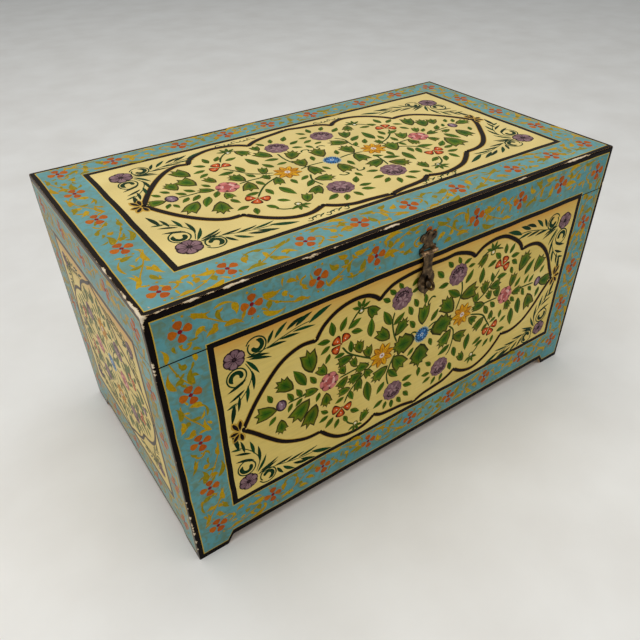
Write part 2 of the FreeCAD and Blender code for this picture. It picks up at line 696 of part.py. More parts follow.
def make_staple():
    """The staple: a small plate, an eye on a shank that stands through the strap's slot, nails."""
    plate = body_on("front", "staple_plate_body", STAPLE_Z)
    outline = new_sketch(plate, "staple_plate_outline")
    half_wide = "sizes.staple_plate_wide / 2"
    half_tall = "sizes.staple_plate_tall / 2 - sizes.staple_plate_wide / 2"
    closed_outline(outline, [
        (half_wide, "-(%s)" % half_tall), (half_wide, half_tall, HALF_ROUND, -1),
        ("-" + half_wide, half_tall), ("-" + half_wide, "-(%s)" % half_tall, HALF_ROUND, -1)])
    pad(plate, outline, "sizes.staple_plate_thick")
    square_holes(plate, "staple_plate_hole", [("0", "0")], EYE_HALF)
    square_holes(plate, "staple_plate_nail_holes",
                 [("0", STAPLE_NAIL_OUT), ("0", "-(%s)" % STAPLE_NAIL_OUT)], NAIL_HALF)
    keep(plate, "staple_plate")

    eye = body_on("front", "staple_eye_body", STAPLE_Z)
    ring = new_sketch(eye, "staple_ring", "YZ_Plane")
    circle(ring, "-sizes.eye_stand", "0", "sizes.eye_radius")
    pad(eye, ring, "sizes.eye_thick", both_ways=True)
    bevel_edges(eye, "sizes.eye_bevel",
                lambda edge, middle: edge.Curve.TypeId == "Part::GeomCircle")
    stem = new_sketch(eye, "staple_shank")
    half_shank = "sizes.eye_shank / 2"
    closed_outline(stem, rectangle("-" + half_shank, half_shank, "-" + half_shank, half_shank))
    stem.AttachmentOffset.Base.z = -mm("sizes.eye_shank_long")
    bind(stem, AttachmentOffset__Base__z="-sizes.eye_shank_long")
    doc.recompute()
    pad(eye, stem, "sizes.eye_shank_long + sizes.eye_stand - sizes.eye_hole - 1.5")
    hole = new_sketch(eye, "staple_padlock_hole", "YZ_Plane")
    circle(hole, "-sizes.eye_stand", "0", "sizes.eye_hole")
    pocket(eye, hole)
    keep(eye, "staple_eye")

    nails = [square_shank("staple_nail", "0", "%s + %s * (%s)" % (STAPLE_Z, way, STAPLE_NAIL_OUT),
                          "sizes.staple_plate_thick") for way in ("1", "-1")]
    group_of("staple_nails", nails)


def write_parts():
    """Check every object of the document, then write one file for each piece."""
    doc.recompute()
    for item in doc.Objects:
        if "Invalid" in item.State or "Error" in item.State:
            raise RuntimeError("%s (%s) did not compute" % (item.Name, item.Label))
    os.makedirs("parts", exist_ok=True)
    for piece in PARTS:
        shape = piece.Shape
        if shape.isNull() or not shape.isValid() or not shape.Solids:
            raise RuntimeError("%s has no valid solid" % piece.Label)
        if min(solid.Volume for solid in shape.Solids) <= 0:
            raise RuntimeError("%s has a solid with no volume" % piece.Label)
    for piece in PARTS:
        piece.Shape.exportStep("parts/%s.step" % piece.Label)
        box = piece.Shape.BoundBox
        print("%-24s solids %d  volume %10.1f mm3  x %7.1f..%7.1f  y %7.1f..%7.1f  z %6.1f..%6.1f" % (
            piece.Label, len(piece.Shape.Solids), piece.Shape.Volume,
            box.XMin, box.XMax, box.YMin, box.YMax, box.ZMin, box.ZMax))
    whole = Part.makeCompound([piece.Shape for piece in PARTS]).BoundBox
    print("%d nodes, overall x %.2f..%.2f  y %.2f..%.2f  z %.2f..%.2f" % (
        len(PARTS), whole.XMin, whole.XMax, whole.YMin, whole.YMax, whole.ZMin, whole.ZMax))


make_case()
make_lid()
make_hinges()
make_hasp()
make_staple()
write_parts()
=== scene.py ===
# %% [markdown]
# # A painted trunk
# A wooden trunk with a box lid, painted in oils: turquoise borders, cream panels, black-brown
# bands, and flowers in a cartouche. The boards, hinges and hasp come from the CAD model and stay
# as they are. What is added here is what the painter added: the colours of the boards, as a
# material, and every brush stroke, as a thin raised skin of paint on the board that carries it.

# %% Load the model
import math

import bpy
import numpy as np
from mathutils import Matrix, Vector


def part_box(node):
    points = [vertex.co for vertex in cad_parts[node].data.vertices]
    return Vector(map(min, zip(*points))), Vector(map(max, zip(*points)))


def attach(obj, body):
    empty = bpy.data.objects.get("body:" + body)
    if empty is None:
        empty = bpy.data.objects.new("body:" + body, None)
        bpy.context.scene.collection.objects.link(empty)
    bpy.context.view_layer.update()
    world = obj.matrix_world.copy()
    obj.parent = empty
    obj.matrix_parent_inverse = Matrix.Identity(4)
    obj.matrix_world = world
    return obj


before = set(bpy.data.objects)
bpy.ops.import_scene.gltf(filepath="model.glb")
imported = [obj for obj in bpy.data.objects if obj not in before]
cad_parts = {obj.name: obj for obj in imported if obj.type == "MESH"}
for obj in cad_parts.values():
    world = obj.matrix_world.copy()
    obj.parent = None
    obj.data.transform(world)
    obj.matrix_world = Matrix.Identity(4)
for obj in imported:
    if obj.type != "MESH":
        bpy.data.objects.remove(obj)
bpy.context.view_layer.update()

# %% [markdown]
# ## Units and three helpers
# Sizes are in millimetres, as a joiner would give them, and one factor turns them to metres.
# Colours are written as on a paint chart, in sRGB hex, and one function makes them linear.
# One function adds a node with its settings and its links, and every material uses it.

# %% Helpers
MM = 0.001


def linear(hex_colour, alpha=1.0):
    """An sRGB hex colour as linear red, green, blue: (c + 0.055) / 1.055 to the power 2.4."""
    parts = np.array([int(hex_colour[i:i + 2], 16) for i in (1, 3, 5)]) / 255
    low = parts / 12.92
    high = ((parts + 0.055) / 1.055) ** 2.4
    return tuple(np.where(parts <= 0.04045, low, high)) + (alpha,)


def add_node(tree, kind, inputs=None, **settings):
    """Add a node; inputs maps a socket to a value, or to an output that is linked to it."""
    node = tree.nodes.new(kind)
    for name, value in settings.items():
        setattr(node, name, value)
    for socket, value in (inputs or {}).items():
        if isinstance(value, bpy.types.NodeSocket):
            tree.links.new(value, node.inputs[socket])
        else:
            node.inputs[socket].default_value = value
    return node


def new_material(name):
    """An empty material's node tree, with its Principled shader already linked to the output."""
    material = bpy.data.materials.new(name)
    material.use_nodes = True
    tree = material.node_tree
    tree.nodes.clear()
    shader = add_node(tree, "ShaderNodeBsdfPrincipled")
    add_node(tree, "ShaderNodeOutputMaterial", {"Surface": shader.outputs[0]})
    return material, tree, shader


def set_ramp(node, stops):
    """Give a Color Ramp its stops, as (place, hex colour)."""
    ramp = node.color_ramp
    while len(ramp.elements) < len(stops):
        ramp.elements.new(0.5)
    for element, (place, colour) in zip(ramp.elements, stops):
        element.position = place
        element.color = linear(colour)
    return node


# %% [markdown]
# ## Camera
# The trunk is seen from its front left corner, from above. The camera's place and the angle of
# its view were worked out from the trunk's corners in the photograph; its lens is wide, so the
# near corner looks large. The small shift puts the trunk where the photograph has it.

# %% Camera
EYE = (-475.1, -666.4, 736.3)
TURN = 35.75
DOWN = 37.79
FOCAL = 34.54
camera_data = bpy.data.cameras.new("camera")
camera_data.sensor_width = 36
camera_data.lens = FOCAL
camera_data.shift_x = -0.0309
camera_data.shift_y = 0.0137
camera = bpy.data.objects.new("camera", camera_data)
camera.location = [value * MM for value in EYE]
camera.rotation_euler = (math.radians(90 - DOWN), 0, math.radians(-TURN))
bpy.context.scene.collection.objects.link(camera)
bpy.context.scene.camera = camera

# %% [markdown]
# ## Floor and light
# A pale floor and soft light, as in a plain studio: a large lamp overhead, which makes the lid
# the brightest face, a weaker one to the right, and grey surroundings that the varnish mirrors.

# %% Floor
floor_paint, tree, shader = new_material("pale_floor_paint")
place = add_node(tree, "ShaderNodeTexCoord")
cloud = add_node(tree, "ShaderNodeTexNoise", {"Vector": place.outputs["Object"], "Scale": 6.0,
                                              "Detail": 6.0})
tone = set_ramp(add_node(tree, "ShaderNodeValToRGB", {"Fac": cloud.outputs["Fac"]}),
                [(0.3, "#E3DFD8"), (0.7, "#ECE9E3")])
tree.links.new(tone.outputs["Color"], shader.inputs["Base Color"])
shader.inputs["Roughness"].default_value = 0.6
half = 6.0
floor_mesh = bpy.data.meshes.new("floor")
floor_mesh.from_pydata([(-half, -half, 0), (half, -half, 0), (half, half, 0), (-half, half, 0)],
                       [], [(0, 1, 2, 3)])
floor_mesh.materials.append(floor_paint)
floor = bpy.data.objects.new("floor", floor_mesh)
bpy.context.scene.collection.objects.link(floor)

# %% Lamps
LAMPS = [
    ("overhead", (-300, 300, 3600), (0, 0, 200), 3400, 86),
    ("from_right", (1300, -1700, 1200), (0, 0, 200), 1300, 8),
    ("from_left", (-1900, -300, 900), (0, 0, 200), 1300, 7),
]


def aim(lamp, target):
    """Turn a lamp so that its light, which leaves along its own -Z, points at a target."""
    way = np.array(target, float) - np.array(lamp.location)
    flat = math.hypot(way[0], way[1])
    lamp.rotation_euler = (math.atan2(flat, -way[2]), 0, math.atan2(-way[0], way[1]))


for name, spot, target, width, power in LAMPS:
    light = bpy.data.lights.new(name, "AREA")
    light.shape = "SQUARE"
    light.size = width * MM
    light.energy = power
    lamp = bpy.data.objects.new(name, light)
    lamp.location = [value * MM for value in spot]
    aim(lamp, [value * MM for value in target])
    bpy.context.scene.collection.objects.link(lamp)

world = bpy.data.worlds.new("studio")
world.use_nodes = True
world.node_tree.nodes["Background"].inputs[0].default_value = linear("#C9CED2")
world.node_tree.nodes["Background"].inputs[1].default_value = 0.55
bpy.context.scene.world = world
bpy.context.scene.view_settings.view_transform = "Standard"

# %% [markdown]
# ## Where the boards are
# The painted faces are planes of the CAD model, so their places are read from it. Each face gets
# two directions, to the right and up as one stands before it, and one that points off the board.

# %% Faces
lowest, highest = [np.array(corner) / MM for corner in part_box("lid_top_board")]
TOP = highest[2]
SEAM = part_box("front_board")[1][2] / MM
HALF_LENGTH = (highest[0] - lowest[0]) / 2
HALF_DEPTH = (highest[1] - lowest[1]) / 2
MIDDLE_Y = (highest[1] + lowest[1]) / 2
X, Y, Z = np.eye(3)
FACES = {
    "front": (np.array([0, lowest[1], 0]), X, Z, -Y),
    "back": (np.array([0, highest[1], 0]), -X, Z, Y),
    "left_end": (np.array([lowest[0], MIDDLE_Y, 0]), -Y, Z, -X),
    "right_end": (np.array([highest[0], MIDDLE_Y, 0]), Y, Z, X),
    "top": (np.array([0, MIDDLE_Y, TOP]), X, Y, Z),
}
print("trunk %.0f x %.0f x %.0f mm, seam at %.0f" % (2 * HALF_LENGTH, 2 * HALF_DEPTH, TOP, SEAM))

# %% [markdown]
# ## The painted boards
# One material serves all nine painted boards, because the painter treated the closed trunk as one
# thing. It works out, from the place of each point on the trunk, how far that point is from the
# trunk's edges and from the panel's edge, and picks the paint from those distances: a black-brown
# band along every edge, a thin ochre line beside it, turquoise, the black-brown frame with its own
# ochre line, and cream inside. Points away from the outer skin are bare wood. Hand-drawn lines
# are never quite straight, so the distances are measured from a place that wanders by half a
# millimetre. The scrolls' yellow was thin in places, and turns the turquoise under it green, so a
# noise lays a green glaze over parts of it. Chips along the edges show pale primer.

# %% Varnish
def varnish(shader):
    """A thin clear coat over matt paint: it shines at a slant, and hardly at all from straight on."""
    shader.inputs["Specular IOR Level"].default_value = 0.02
    shader.inputs["Coat Weight"].default_value = 0.15
    shader.inputs["Coat Roughness"].default_value = 0.13
    shader.inputs["Coat IOR"].default_value = 1.25


# %% [markdown]
# ## Painted sheen and dust on the varnish
# The lid and the ends are made a little paler and greyer than the front: partly dust and fine
# scratches, and partly a painted reflection of the pale room, which varnish shows most at a
# slant. The boards and the strokes on them share one colour for it, and a table gives how much
# of it lies on each face.

# %% Painted sheen and dust
DUST_AND_SHEEN_COLOUR = "#D8C2A8"
DUST_AND_SHEEN = {"top": 0.02, "left_end": 0.1, "right_end": 0.1, "front": 0.0, "back": 0.0}

# %% Sizes of the painted lines
BAND = 6.5
OCHRE_LINE = 1.2
TOP_EXTRA = 1.8
FRAME_LINE = 7.2
PANEL_LONG = (4.0, 299.0, 204.5, 125.5)
PANEL_TOP = (1.0, 299.0, 4.5, 140.5)
PANEL_END = (0.0, 139.0, 204.5, 125.5)
FOOT_WIDTH = 42.0
FOOT_SLOPE = 9.0
FOOT_RISE = 15.0
SKIN = 0.7
GLAZE_SIZE = 13.0
WALL = 14.0
GRAIN_LONG = 110.0
GRAIN_WIDE = 5.0

# %% Painted board material
painted, tree, shader = new_material("oil_painted_pine")
place = add_node(tree, "ShaderNodeTexCoord").outputs["Object"]
in_mm = add_node(tree, "ShaderNodeVectorMath", {0: place, "Scale": 1 / MM}, operation="SCALE").outputs[0]
wander = add_node(tree, "ShaderNodeTexNoise", {"Vector": in_mm, "Scale": 1 / 45, "Detail": 1.0})
centred = add_node(tree, "ShaderNodeVectorMath", {0: wander.outputs["Color"], 1: (0.5, 0.5, 0.5)},
                   operation="SUBTRACT").outputs[0]
swing = add_node(tree, "ShaderNodeVectorMath", {0: centred, "Scale": 2.6}, operation="SCALE").outputs[0]
wandering = add_node(tree, "ShaderNodeVectorMath", {0: in_mm, 1: swing}, operation="ADD").outputs[0]
exact_xyz = add_node(tree, "ShaderNodeSeparateXYZ", {0: in_mm})
drawn_xyz = add_node(tree, "ShaderNodeSeparateXYZ", {0: wandering})
worked = {"x": exact_xyz.outputs[0], "y": exact_xyz.outputs[1], "z": exact_xyz.outputs[2],
          "u": drawn_xyz.outputs[0], "v": drawn_xyz.outputs[1], "w": drawn_xyz.outputs[2]}
EDGE_STEPS = [
    ("x_out", "ABSOLUTE", "x"), ("y_mid", "SUBTRACT", "y", MIDDLE_Y), ("y_out", "ABSOLUTE", "y_mid"),
    ("end", "SUBTRACT", HALF_LENGTH, "x_out"), ("side", "SUBTRACT", HALF_DEPTH, "y_out"),
    ("top", "SUBTRACT", TOP, "z"),
    ("low", "MINIMUM", "end", "side"), ("high", "MAXIMUM", "end", "side"),
    ("depth", "MINIMUM", "low", "top"),
    ("outside", "LESS_THAN", "depth", SKIN),
    ("inner_top", "MINIMUM", "high", "top"), ("arris", "MAXIMUM", "low", "inner_top"),
    ("is_top", "LESS_THAN", "top", "low"), ("is_end", "LESS_THAN", "end", "side"),
    ("not_top", "SUBTRACT", 1.0, "is_top"), ("end_face", "MULTIPLY", "is_end", "not_top"),
    ("u_out", "ABSOLUTE", "u"), ("v_mid", "SUBTRACT", "v", MIDDLE_Y), ("v_out", "ABSOLUTE", "v_mid"),
    ("d_end", "SUBTRACT", HALF_LENGTH, "u_out"), ("d_side", "SUBTRACT", HALF_DEPTH, "v_out"),
    ("d_top", "SUBTRACT", TOP - TOP_EXTRA, "w"),
    ("d_low", "MINIMUM", "d_end", "d_side"), ("d_high", "MAXIMUM", "d_end", "d_side"),
    ("d_mix", "MINIMUM", "d_high", "d_top"), ("edge_a", "MAXIMUM", "d_low", "d_mix"),
    ("foot_a", "SUBTRACT", "d_high", FOOT_WIDTH), ("foot_b", "DIVIDE", "foot_a", FOOT_SLOPE),
    ("foot_c", "MAXIMUM", "foot_b", 0.0), ("foot_d", "MINIMUM", "foot_c", 1.0),
    ("foot_e", "MULTIPLY", "foot_d", FOOT_RISE), ("above", "SUBTRACT", "w", "foot_e"),
    ("above_foot", "SUBTRACT", "above", 1.6), ("edge", "MINIMUM", "edge_a", "above_foot"),
    ("s_long", "SUBTRACT", "u", PANEL_LONG[0]),
    ("s_end", "MULTIPLY", "end_face", "v_mid"), ("not_end", "SUBTRACT", 1.0, "end_face"),
    ("s_a", "MULTIPLY_ADD", "s_long", "not_end", "s_end"), ("s_out", "ABSOLUTE", "s_a"),
    ("s_half", "MULTIPLY_ADD", "end_face", PANEL_END[1] - PANEL_LONG[1], PANEL_LONG[1]),
    ("s_gap", "SUBTRACT", "s_out", "s_half"),
    ("t_top", "SUBTRACT", "v_mid", PANEL_TOP[2]), ("t_side", "SUBTRACT", "w", PANEL_LONG[2]),
    ("t_a", "MULTIPLY", "t_top", "is_top"), ("t_b", "MULTIPLY_ADD", "t_side", "not_top", "t_a"),
    ("t_out", "ABSOLUTE", "t_b"),
    ("t_half", "MULTIPLY_ADD", "is_top", PANEL_TOP[3] - PANEL_LONG[3], PANEL_LONG[3]),
    ("t_gap", "SUBTRACT", "t_out", "t_half"),
    ("panel", "MAXIMUM", "s_gap", "t_gap"),
    ("cream", "LESS_THAN", "panel", 0.0),
    ("frame_a", "LESS_THAN", "panel", FRAME_LINE), ("band", "LESS_THAN", "edge", BAND),
    ("frame", "SUBTRACT", "frame_a", "cream"), ("dark", "MAXIMUM", "frame", "band"),
    ("ochre_a", "LESS_THAN", "panel", FRAME_LINE + OCHRE_LINE),
    ("ochre_b", "LESS_THAN", "edge", BAND + OCHRE_LINE), ("ochre_c", "SUBTRACT", "ochre_a", "cream"),
    ("ochre", "MAXIMUM", "ochre_b", "ochre_c"),
    ("seam_a", "SUBTRACT", "z", SEAM), ("seam_b", "ABSOLUTE", "seam_a"),
    ("seam", "LESS_THAN", "seam_b", 0.8),
    ("glow_a", "SUBTRACT", "t_half", "t_b"), ("glow_b", "DIVIDE", "glow_a", 48.0),
    ("glow_c", "SUBTRACT", 1.0, "glow_b"), ("glow_d", "MAXIMUM", "glow_c", 0.0),
    ("glow_e", "MULTIPLY", "glow_d", "glow_d"), ("glow_f", "MULTIPLY", "glow_e", 1.5),
    ("glow", "MULTIPLY", "glow_f", "not_top"), ("paler_top", "MULTIPLY", "is_top", 0.3),
    ("end_wall", "LESS_THAN", "end", WALL + 0.5), ("x_grain", "MULTIPLY", "x", 1 / GRAIN_LONG),
    ("y_pitch", "MULTIPLY_ADD", "end_wall", 1 / GRAIN_LONG - 1 / GRAIN_WIDE, 1 / GRAIN_WIDE),
    ("y_grain", "MULTIPLY", "y", "y_pitch"), ("z_grain", "MULTIPLY", "z", 1 / GRAIN_WIDE),
    # the ends and the lid get the painted reflection and the dust mixed in
    ("dust_and_sheen_end", "MULTIPLY", "end_face", DUST_AND_SHEEN["left_end"]),
    ("dust", "MULTIPLY_ADD", "is_top", DUST_AND_SHEEN["top"], "dust_and_sheen_end"),
]
for name, operation, *terms in EDGE_STEPS:
    sockets = {index: worked.get(term, term) for index, term in enumerate(terms)}
    worked[name] = add_node(tree, "ShaderNodeMath", sockets, operation=operation).outputs[0]

streaks = add_node(tree, "ShaderNodeMapping", {"Vector": in_mm, "Scale": (0.02, 0.02, 0.35)})
brushing = add_node(tree, "ShaderNodeTexNoise", {"Vector": streaks.outputs[0], "Scale": 1.0,
                                                 "Detail": 4.0})
patches = add_node(tree, "ShaderNodeTexNoise", {"Vector": in_mm, "Scale": 1 / 70, "Detail": 5.0,
                                                "Roughness": 0.6})
grain_xyz = add_node(tree, "ShaderNodeCombineXYZ", {0: worked["x_grain"], 1: worked["y_grain"],
                                                    2: worked["z_grain"]})
grain = add_node(tree, "ShaderNodeTexNoise", {"Vector": grain_xyz.outputs[0], "Scale": 1.0,
                                              "Detail": 5.0, "Distortion": 0.5})
wood = set_ramp(add_node(tree, "ShaderNodeValToRGB", {"Fac": grain.outputs["Fac"]}),
                [(0.3, "#A87B4C"), (0.5, "#C49A66"), (0.72, "#D2AC7B")])
turquoise = set_ramp(add_node(tree, "ShaderNodeValToRGB", {"Fac": patches.outputs["Fac"]}),
                     [(0.3, "#508B90"), (0.55, "#5D979B"), (0.75, "#6EA3A3")])
thin_yellow = add_node(tree, "ShaderNodeTexNoise", {"Vector": in_mm, "Scale": 1 / GLAZE_SIZE,
                                                    "Detail": 3.0, "Distortion": 1.4})
glaze = add_node(tree, "ShaderNodeMapRange", {"Value": thin_yellow.outputs["Fac"], 1: 0.42,
                                              2: 0.66, 3: 0.0, 4: 0.55})
glazed = add_node(tree, "ShaderNodeMix", {"Factor": glaze.outputs[0], "A": turquoise.outputs[0],
                                          "B": linear("#6C6E26")}, data_type="RGBA")
cream = set_ramp(add_node(tree, "ShaderNodeValToRGB", {"Fac": patches.outputs["Fac"]}),
                 [(0.25, "#D3B760"), (0.55, "#DFC46F"), (0.8, "#E7D184")])
mottled = add_node(tree, "ShaderNodeMath", {0: worked["glow"], 1: patches.outputs["Fac"]},
                   operation="MULTIPLY")
amber = add_node(tree, "ShaderNodeMix", {"Factor": mottled.outputs[0], "A": cream.outputs[0],
                                         "B": linear("#C8892F")}, data_type="RGBA")
# On the lid's top the cream and the turquoise are mixed toward paler, greyer colours.
paler_top_cream = add_node(tree, "ShaderNodeMix", {"Factor": worked["paler_top"], "A": amber.outputs[2],
                                            "B": linear("#DCCB9E")}, data_type="RGBA")
paler_top_turquoise = add_node(tree, "ShaderNodeMix", {"Factor": worked["paler_top"], "A": glazed.outputs[2],
                                               "B": linear("#76A09E")}, data_type="RGBA")
layers = [
    ("turquoise_cream", worked["cream"], paler_top_turquoise.outputs[2], paler_top_cream.outputs[2]),
    ("with_ochre", worked["ochre"], None, linear("#C2A038")),
    ("with_dark", worked["dark"], None, linear("#0B0504")),
    ("with_seam", worked["seam"], None, linear("#0E0908")),
    # the painted reflection and the dust, over the lid and the ends
    ("with_dust_and_sheen", worked["dust"], None, linear(DUST_AND_SHEEN_COLOUR)),
]
colour = None
for name, amount, under, over in layers:
    under = under if under is not None else colour
    inputs = {"Factor": amount, "A": under, "B": over}
    colour = add_node(tree, "ShaderNodeMix", inputs, data_type="RGBA", label=name).outputs[2]
streaky = add_node(tree, "ShaderNodeMapRange", {"Value": brushing.outputs["Fac"], 1: 0.3, 2: 0.7,
                                                3: 0.93, 4: 1.05})
colour = add_node(tree, "ShaderNodeVectorMath", {0: colour, "Scale": streaky.outputs[0]},
                  operation="SCALE").outputs[0]

# %% [markdown]
# ## Wear
# Paint chips first along the sharp edges, where it is thin and gets knocked. The chips come from
# a noise that must rise higher the further a point is from the edge, so that they hug it. The
# noise is drawn out along the ground, because a flake lifts along the grain of the rail.

# %% Chips
CHIP_SIZE = 9.0
CHIP_STRETCH = 0.28
flat_map = add_node(tree, "ShaderNodeMapping", {"Vector": in_mm,
                                                "Scale": (CHIP_STRETCH, CHIP_STRETCH, 1.0)})
crumbs = add_node(tree, "ShaderNodeTexNoise", {"Vector": flat_map.outputs[0],
                                               "Scale": 1 / CHIP_SIZE, "Detail": 6.0,
                                               "Roughness": 0.68})
chip_bar = add_node(tree, "ShaderNodeMapRange", {"Value": worked["arris"], 1: 0.0, 2: 4.0,
                                                 3: 0.6, 4: 0.84})
FRONT_Y = MIDDLE_Y - HALF_DEPTH
KNOCKS = [(-330, FRONT_Y, TOP, 45), (-260, FRONT_Y, TOP, 55), (-150, FRONT_Y, TOP, 40),
          (-60, FRONT_Y, TOP, 30), (285, FRONT_Y, TOP, 60), (150, FRONT_Y, TOP, 30),
          (-HALF_LENGTH, FRONT_Y, TOP - 4, 10), (-HALF_LENGTH, -150, TOP, 46),
          (-HALF_LENGTH, -90, TOP, 40),
          (-HALF_LENGTH, FRONT_Y, 60, 70), (-HALF_LENGTH, FRONT_Y, SEAM, 30),
          (HALF_LENGTH, FRONT_Y, 40, 40), (HALF_LENGTH, FRONT_Y, SEAM, 30)]
knocked = crumbs.outputs["Fac"]
for *spot, reach in KNOCKS:
    away = add_node(tree, "ShaderNodeVectorMath", {0: in_mm, 1: spot}, operation="DISTANCE")
    more = add_node(tree, "ShaderNodeMapRange", {"Value": away.outputs["Value"], 1: reach * 0.3,
                                                 2: reach * 1.1, 3: 0.16, 4: 0.0})
    knocked = add_node(tree, "ShaderNodeMath", {0: knocked, 1: more.outputs[0]},
                       operation="ADD").outputs[0]
chipped = add_node(tree, "ShaderNodeMath", {0: knocked, 1: chip_bar.outputs[0]},
                   operation="GREATER_THAN")
bitten = add_node(tree, "ShaderNodeMath", {0: knocked, 1: chip_bar.outputs[0]},
                  operation="SUBTRACT")
primer = set_ramp(add_node(tree, "ShaderNodeValToRGB", {"Fac": bitten.outputs[0]}),
                  [(0.0, "#8E6E4C"), (0.022, "#C8B28E"), (0.09, "#E0D1B8")])
colour = add_node(tree, "ShaderNodeMix", {"Factor": chipped.outputs[0], "A": colour,
                                          "B": primer.outputs[0]}, data_type="RGBA").outputs[2]
final = add_node(tree, "ShaderNodeMix", {"Factor": worked["outside"], "A": wood.outputs[0],
                                         "B": colour}, data_type="RGBA")
tree.links.new(final.outputs[2], shader.inputs["Base Color"])
gloss = add_node(tree, "ShaderNodeMapRange", {"Value": worked["outside"], 1: 0.0, 2: 1.0,
                                              3: 0.65, 4: 0.34})
tree.links.new(gloss.outputs[0], shader.inputs["Roughness"])
varnish(shader)
relief = add_node(tree, "ShaderNodeBump", {"Height": brushing.outputs["Fac"], "Strength": 0.25,
                                           "Distance": 0.0002})
tree.links.new(relief.outputs[0], shader.inputs["Normal"])

# %% Bare wood
bare, tree, shader = new_material("planed_pine")
place = add_node(tree, "ShaderNodeTexCoord").outputs["Object"]
grain_scale = (1 / GRAIN_LONG / MM, 1 / GRAIN_WIDE / MM, 1 / GRAIN_WIDE / MM)
grain_map = add_node(tree, "ShaderNodeMapping", {"Vector": place, "Scale": grain_scale})
grain = add_node(tree, "ShaderNodeTexNoise", {"Vector": grain_map.outputs[0], "Scale": 1.0,
                                              "Detail": 5.0, "Distortion": 0.6})
tone = set_ramp(add_node(tree, "ShaderNodeValToRGB", {"Fac": grain.outputs["Fac"]}),
                [(0.3, "#A87B4C"), (0.5, "#C49A66"), (0.72, "#D2AC7B")])
tree.links.new(tone.outputs[0], shader.inputs["Base Color"])
shader.inputs["Roughness"].default_value = 0.65

# %% [markdown]
# ## Old brass and iron
# The hasp and hinges are cast and pressed brass that has gone brown. The hasp's knuckles, round
# its pin, are brighter: partly brass rubbed bare by hands, partly a painted highlight. Brown
# tarnish is nearly rough, bare brass is smoother.

# %% Metals
brass, tree, shader = new_material("tarnished_brass")
place = add_node(tree, "ShaderNodeTexCoord").outputs["Object"]
pin_low, pin_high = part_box("hasp_pin")
pin_axis = [0, (pin_low[1] + pin_high[1]) / 2, (pin_low[2] + pin_high[2]) / 2]
flat = add_node(tree, "ShaderNodeVectorMath", {0: place, 1: (0, 1, 1)}, operation="MULTIPLY")
from_pin = add_node(tree, "ShaderNodeVectorMath", {0: flat.outputs[0], 1: pin_axis},
                    operation="DISTANCE")
# Brighter brass painted round the hasp's pin: rubbed metal and a painted highlight on the knuckles.
rubbed_and_highlit = add_node(tree, "ShaderNodeMapRange", {"Value": from_pin.outputs["Value"], 1: 3 * MM,
                                               2: 5 * MM, 3: 0.55, 4: 0.0})
blotch = add_node(tree, "ShaderNodeTexNoise", {"Vector": place, "Scale": 160.0, "Detail": 6.0})
tone = set_ramp(add_node(tree, "ShaderNodeValToRGB", {"Fac": blotch.outputs["Fac"]}),
                [(0.35, "#30261B"), (0.55, "#57452F"), (0.72, "#836A4B")])
patchy = add_node(tree, "ShaderNodeMapRange", {"Value": blotch.outputs["Fac"], 1: 0.42, 2: 0.58,
                                               3: 0.25, 4: 1.3})
rubbed_and_highlit = add_node(tree, "ShaderNodeMath", {0: rubbed_and_highlit.outputs[0], 1: patchy.outputs[0]},
                  operation="MULTIPLY", use_clamp=True)
bright = add_node(tree, "ShaderNodeMix", {"Factor": rubbed_and_highlit.outputs[0], "A": tone.outputs[0],
                                          "B": linear("#B8926C")}, data_type="RGBA")
rough = add_node(tree, "ShaderNodeMapRange", {"Value": blotch.outputs["Fac"], 1: 0.3, 2: 0.7,
                                              3: 0.55, 4: 0.3})
bump = add_node(tree, "ShaderNodeBump", {"Height": blotch.outputs["Fac"], "Strength": 0.4,
                                         "Distance": 0.0003})
tree.links.new(bright.outputs[2], shader.inputs["Base Color"])
tree.links.new(rough.outputs[0], shader.inputs["Roughness"])
tree.links.new(bump.outputs[0], shader.inputs["Normal"])
shader.inputs["Metallic"].default_value = 1.0

iron, tree, shader = new_material("dull_steel")
place = add_node(tree, "ShaderNodeTexCoord").outputs["Object"]
blotch = add_node(tree, "ShaderNodeTexNoise", {"Vector": place, "Scale": 300.0, "Detail": 4.0})
tone = set_ramp(add_node(tree, "ShaderNodeValToRGB", {"Fac": blotch.outputs["Fac"]}),
                [(0.35, "#5A5650"), (0.7, "#8E8A82")])
tree.links.new(tone.outputs[0], shader.inputs["Base Color"])
shader.inputs["Metallic"].default_value = 1.0
shader.inputs["Roughness"].default_value = 0.45

# %% Give the CAD pieces their finishes
FINISHES = {
    "oil_painted_pine": ("front_board", "back_board", "left_end_board", "right_end_board",
                         "lid_front_rail", "lid_back_rail", "lid_left_rail", "lid_right_rail",
                         "lid_top_board"),
    "planed_pine": ("front_cleat", "back_cleat", "left_cleat", "right_cleat", "bottom_board",
                    "foot_blocks"),
    "dull_steel": ("left_hinge_pin", "right_hinge_pin", "hasp_pin", "case_hinge_screws",
                   "lid_hinge_screws"),
}
for node_name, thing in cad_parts.items():
    finish = next((name for name, nodes in FINISHES.items() if node_name in nodes), "tarnished_brass")
    if not thing.material_slots:
        thing.data.materials.append(None)
    for material_slot in thing.material_slots:
        material_slot.material = bpy.data.materials[finish]
    print("%-22s %s" % (node_name, finish))

# %% [markdown]
# ## Brush strokes
# The flowers are painted wet on dry: each leaf, petal and scroll is one or two strokes of a round
# brush, and the paint stands off the board by a few tenths of a millimetre. So each stroke here is
# a thin skin with its rim sunk just inside the board. A stroke needs only a few dozen faces,
# because there are thousands. All strokes of a kind are worked out together, as arrays with one
# row for each stroke.

# %% The skin of paint
RIM = -0.05
ACROSS = np.array([-1.0, -0.72, 0.0, 0.72, 1.0])
PAINTING = {}


def skin_height(out, thick, swell):
    """Height over the board at a share `out` of the way from a stroke's middle to its rim.

    It climbs from the sunk rim to `thick` within the outer quarter, and swells in the middle by
    `swell` times one minus out squared.
    """
    climb = np.clip((1 - np.abs(out)) / 0.25, 0, 1)
    return RIM + (thick - RIM) * climb + swell * (1 - out ** 2)


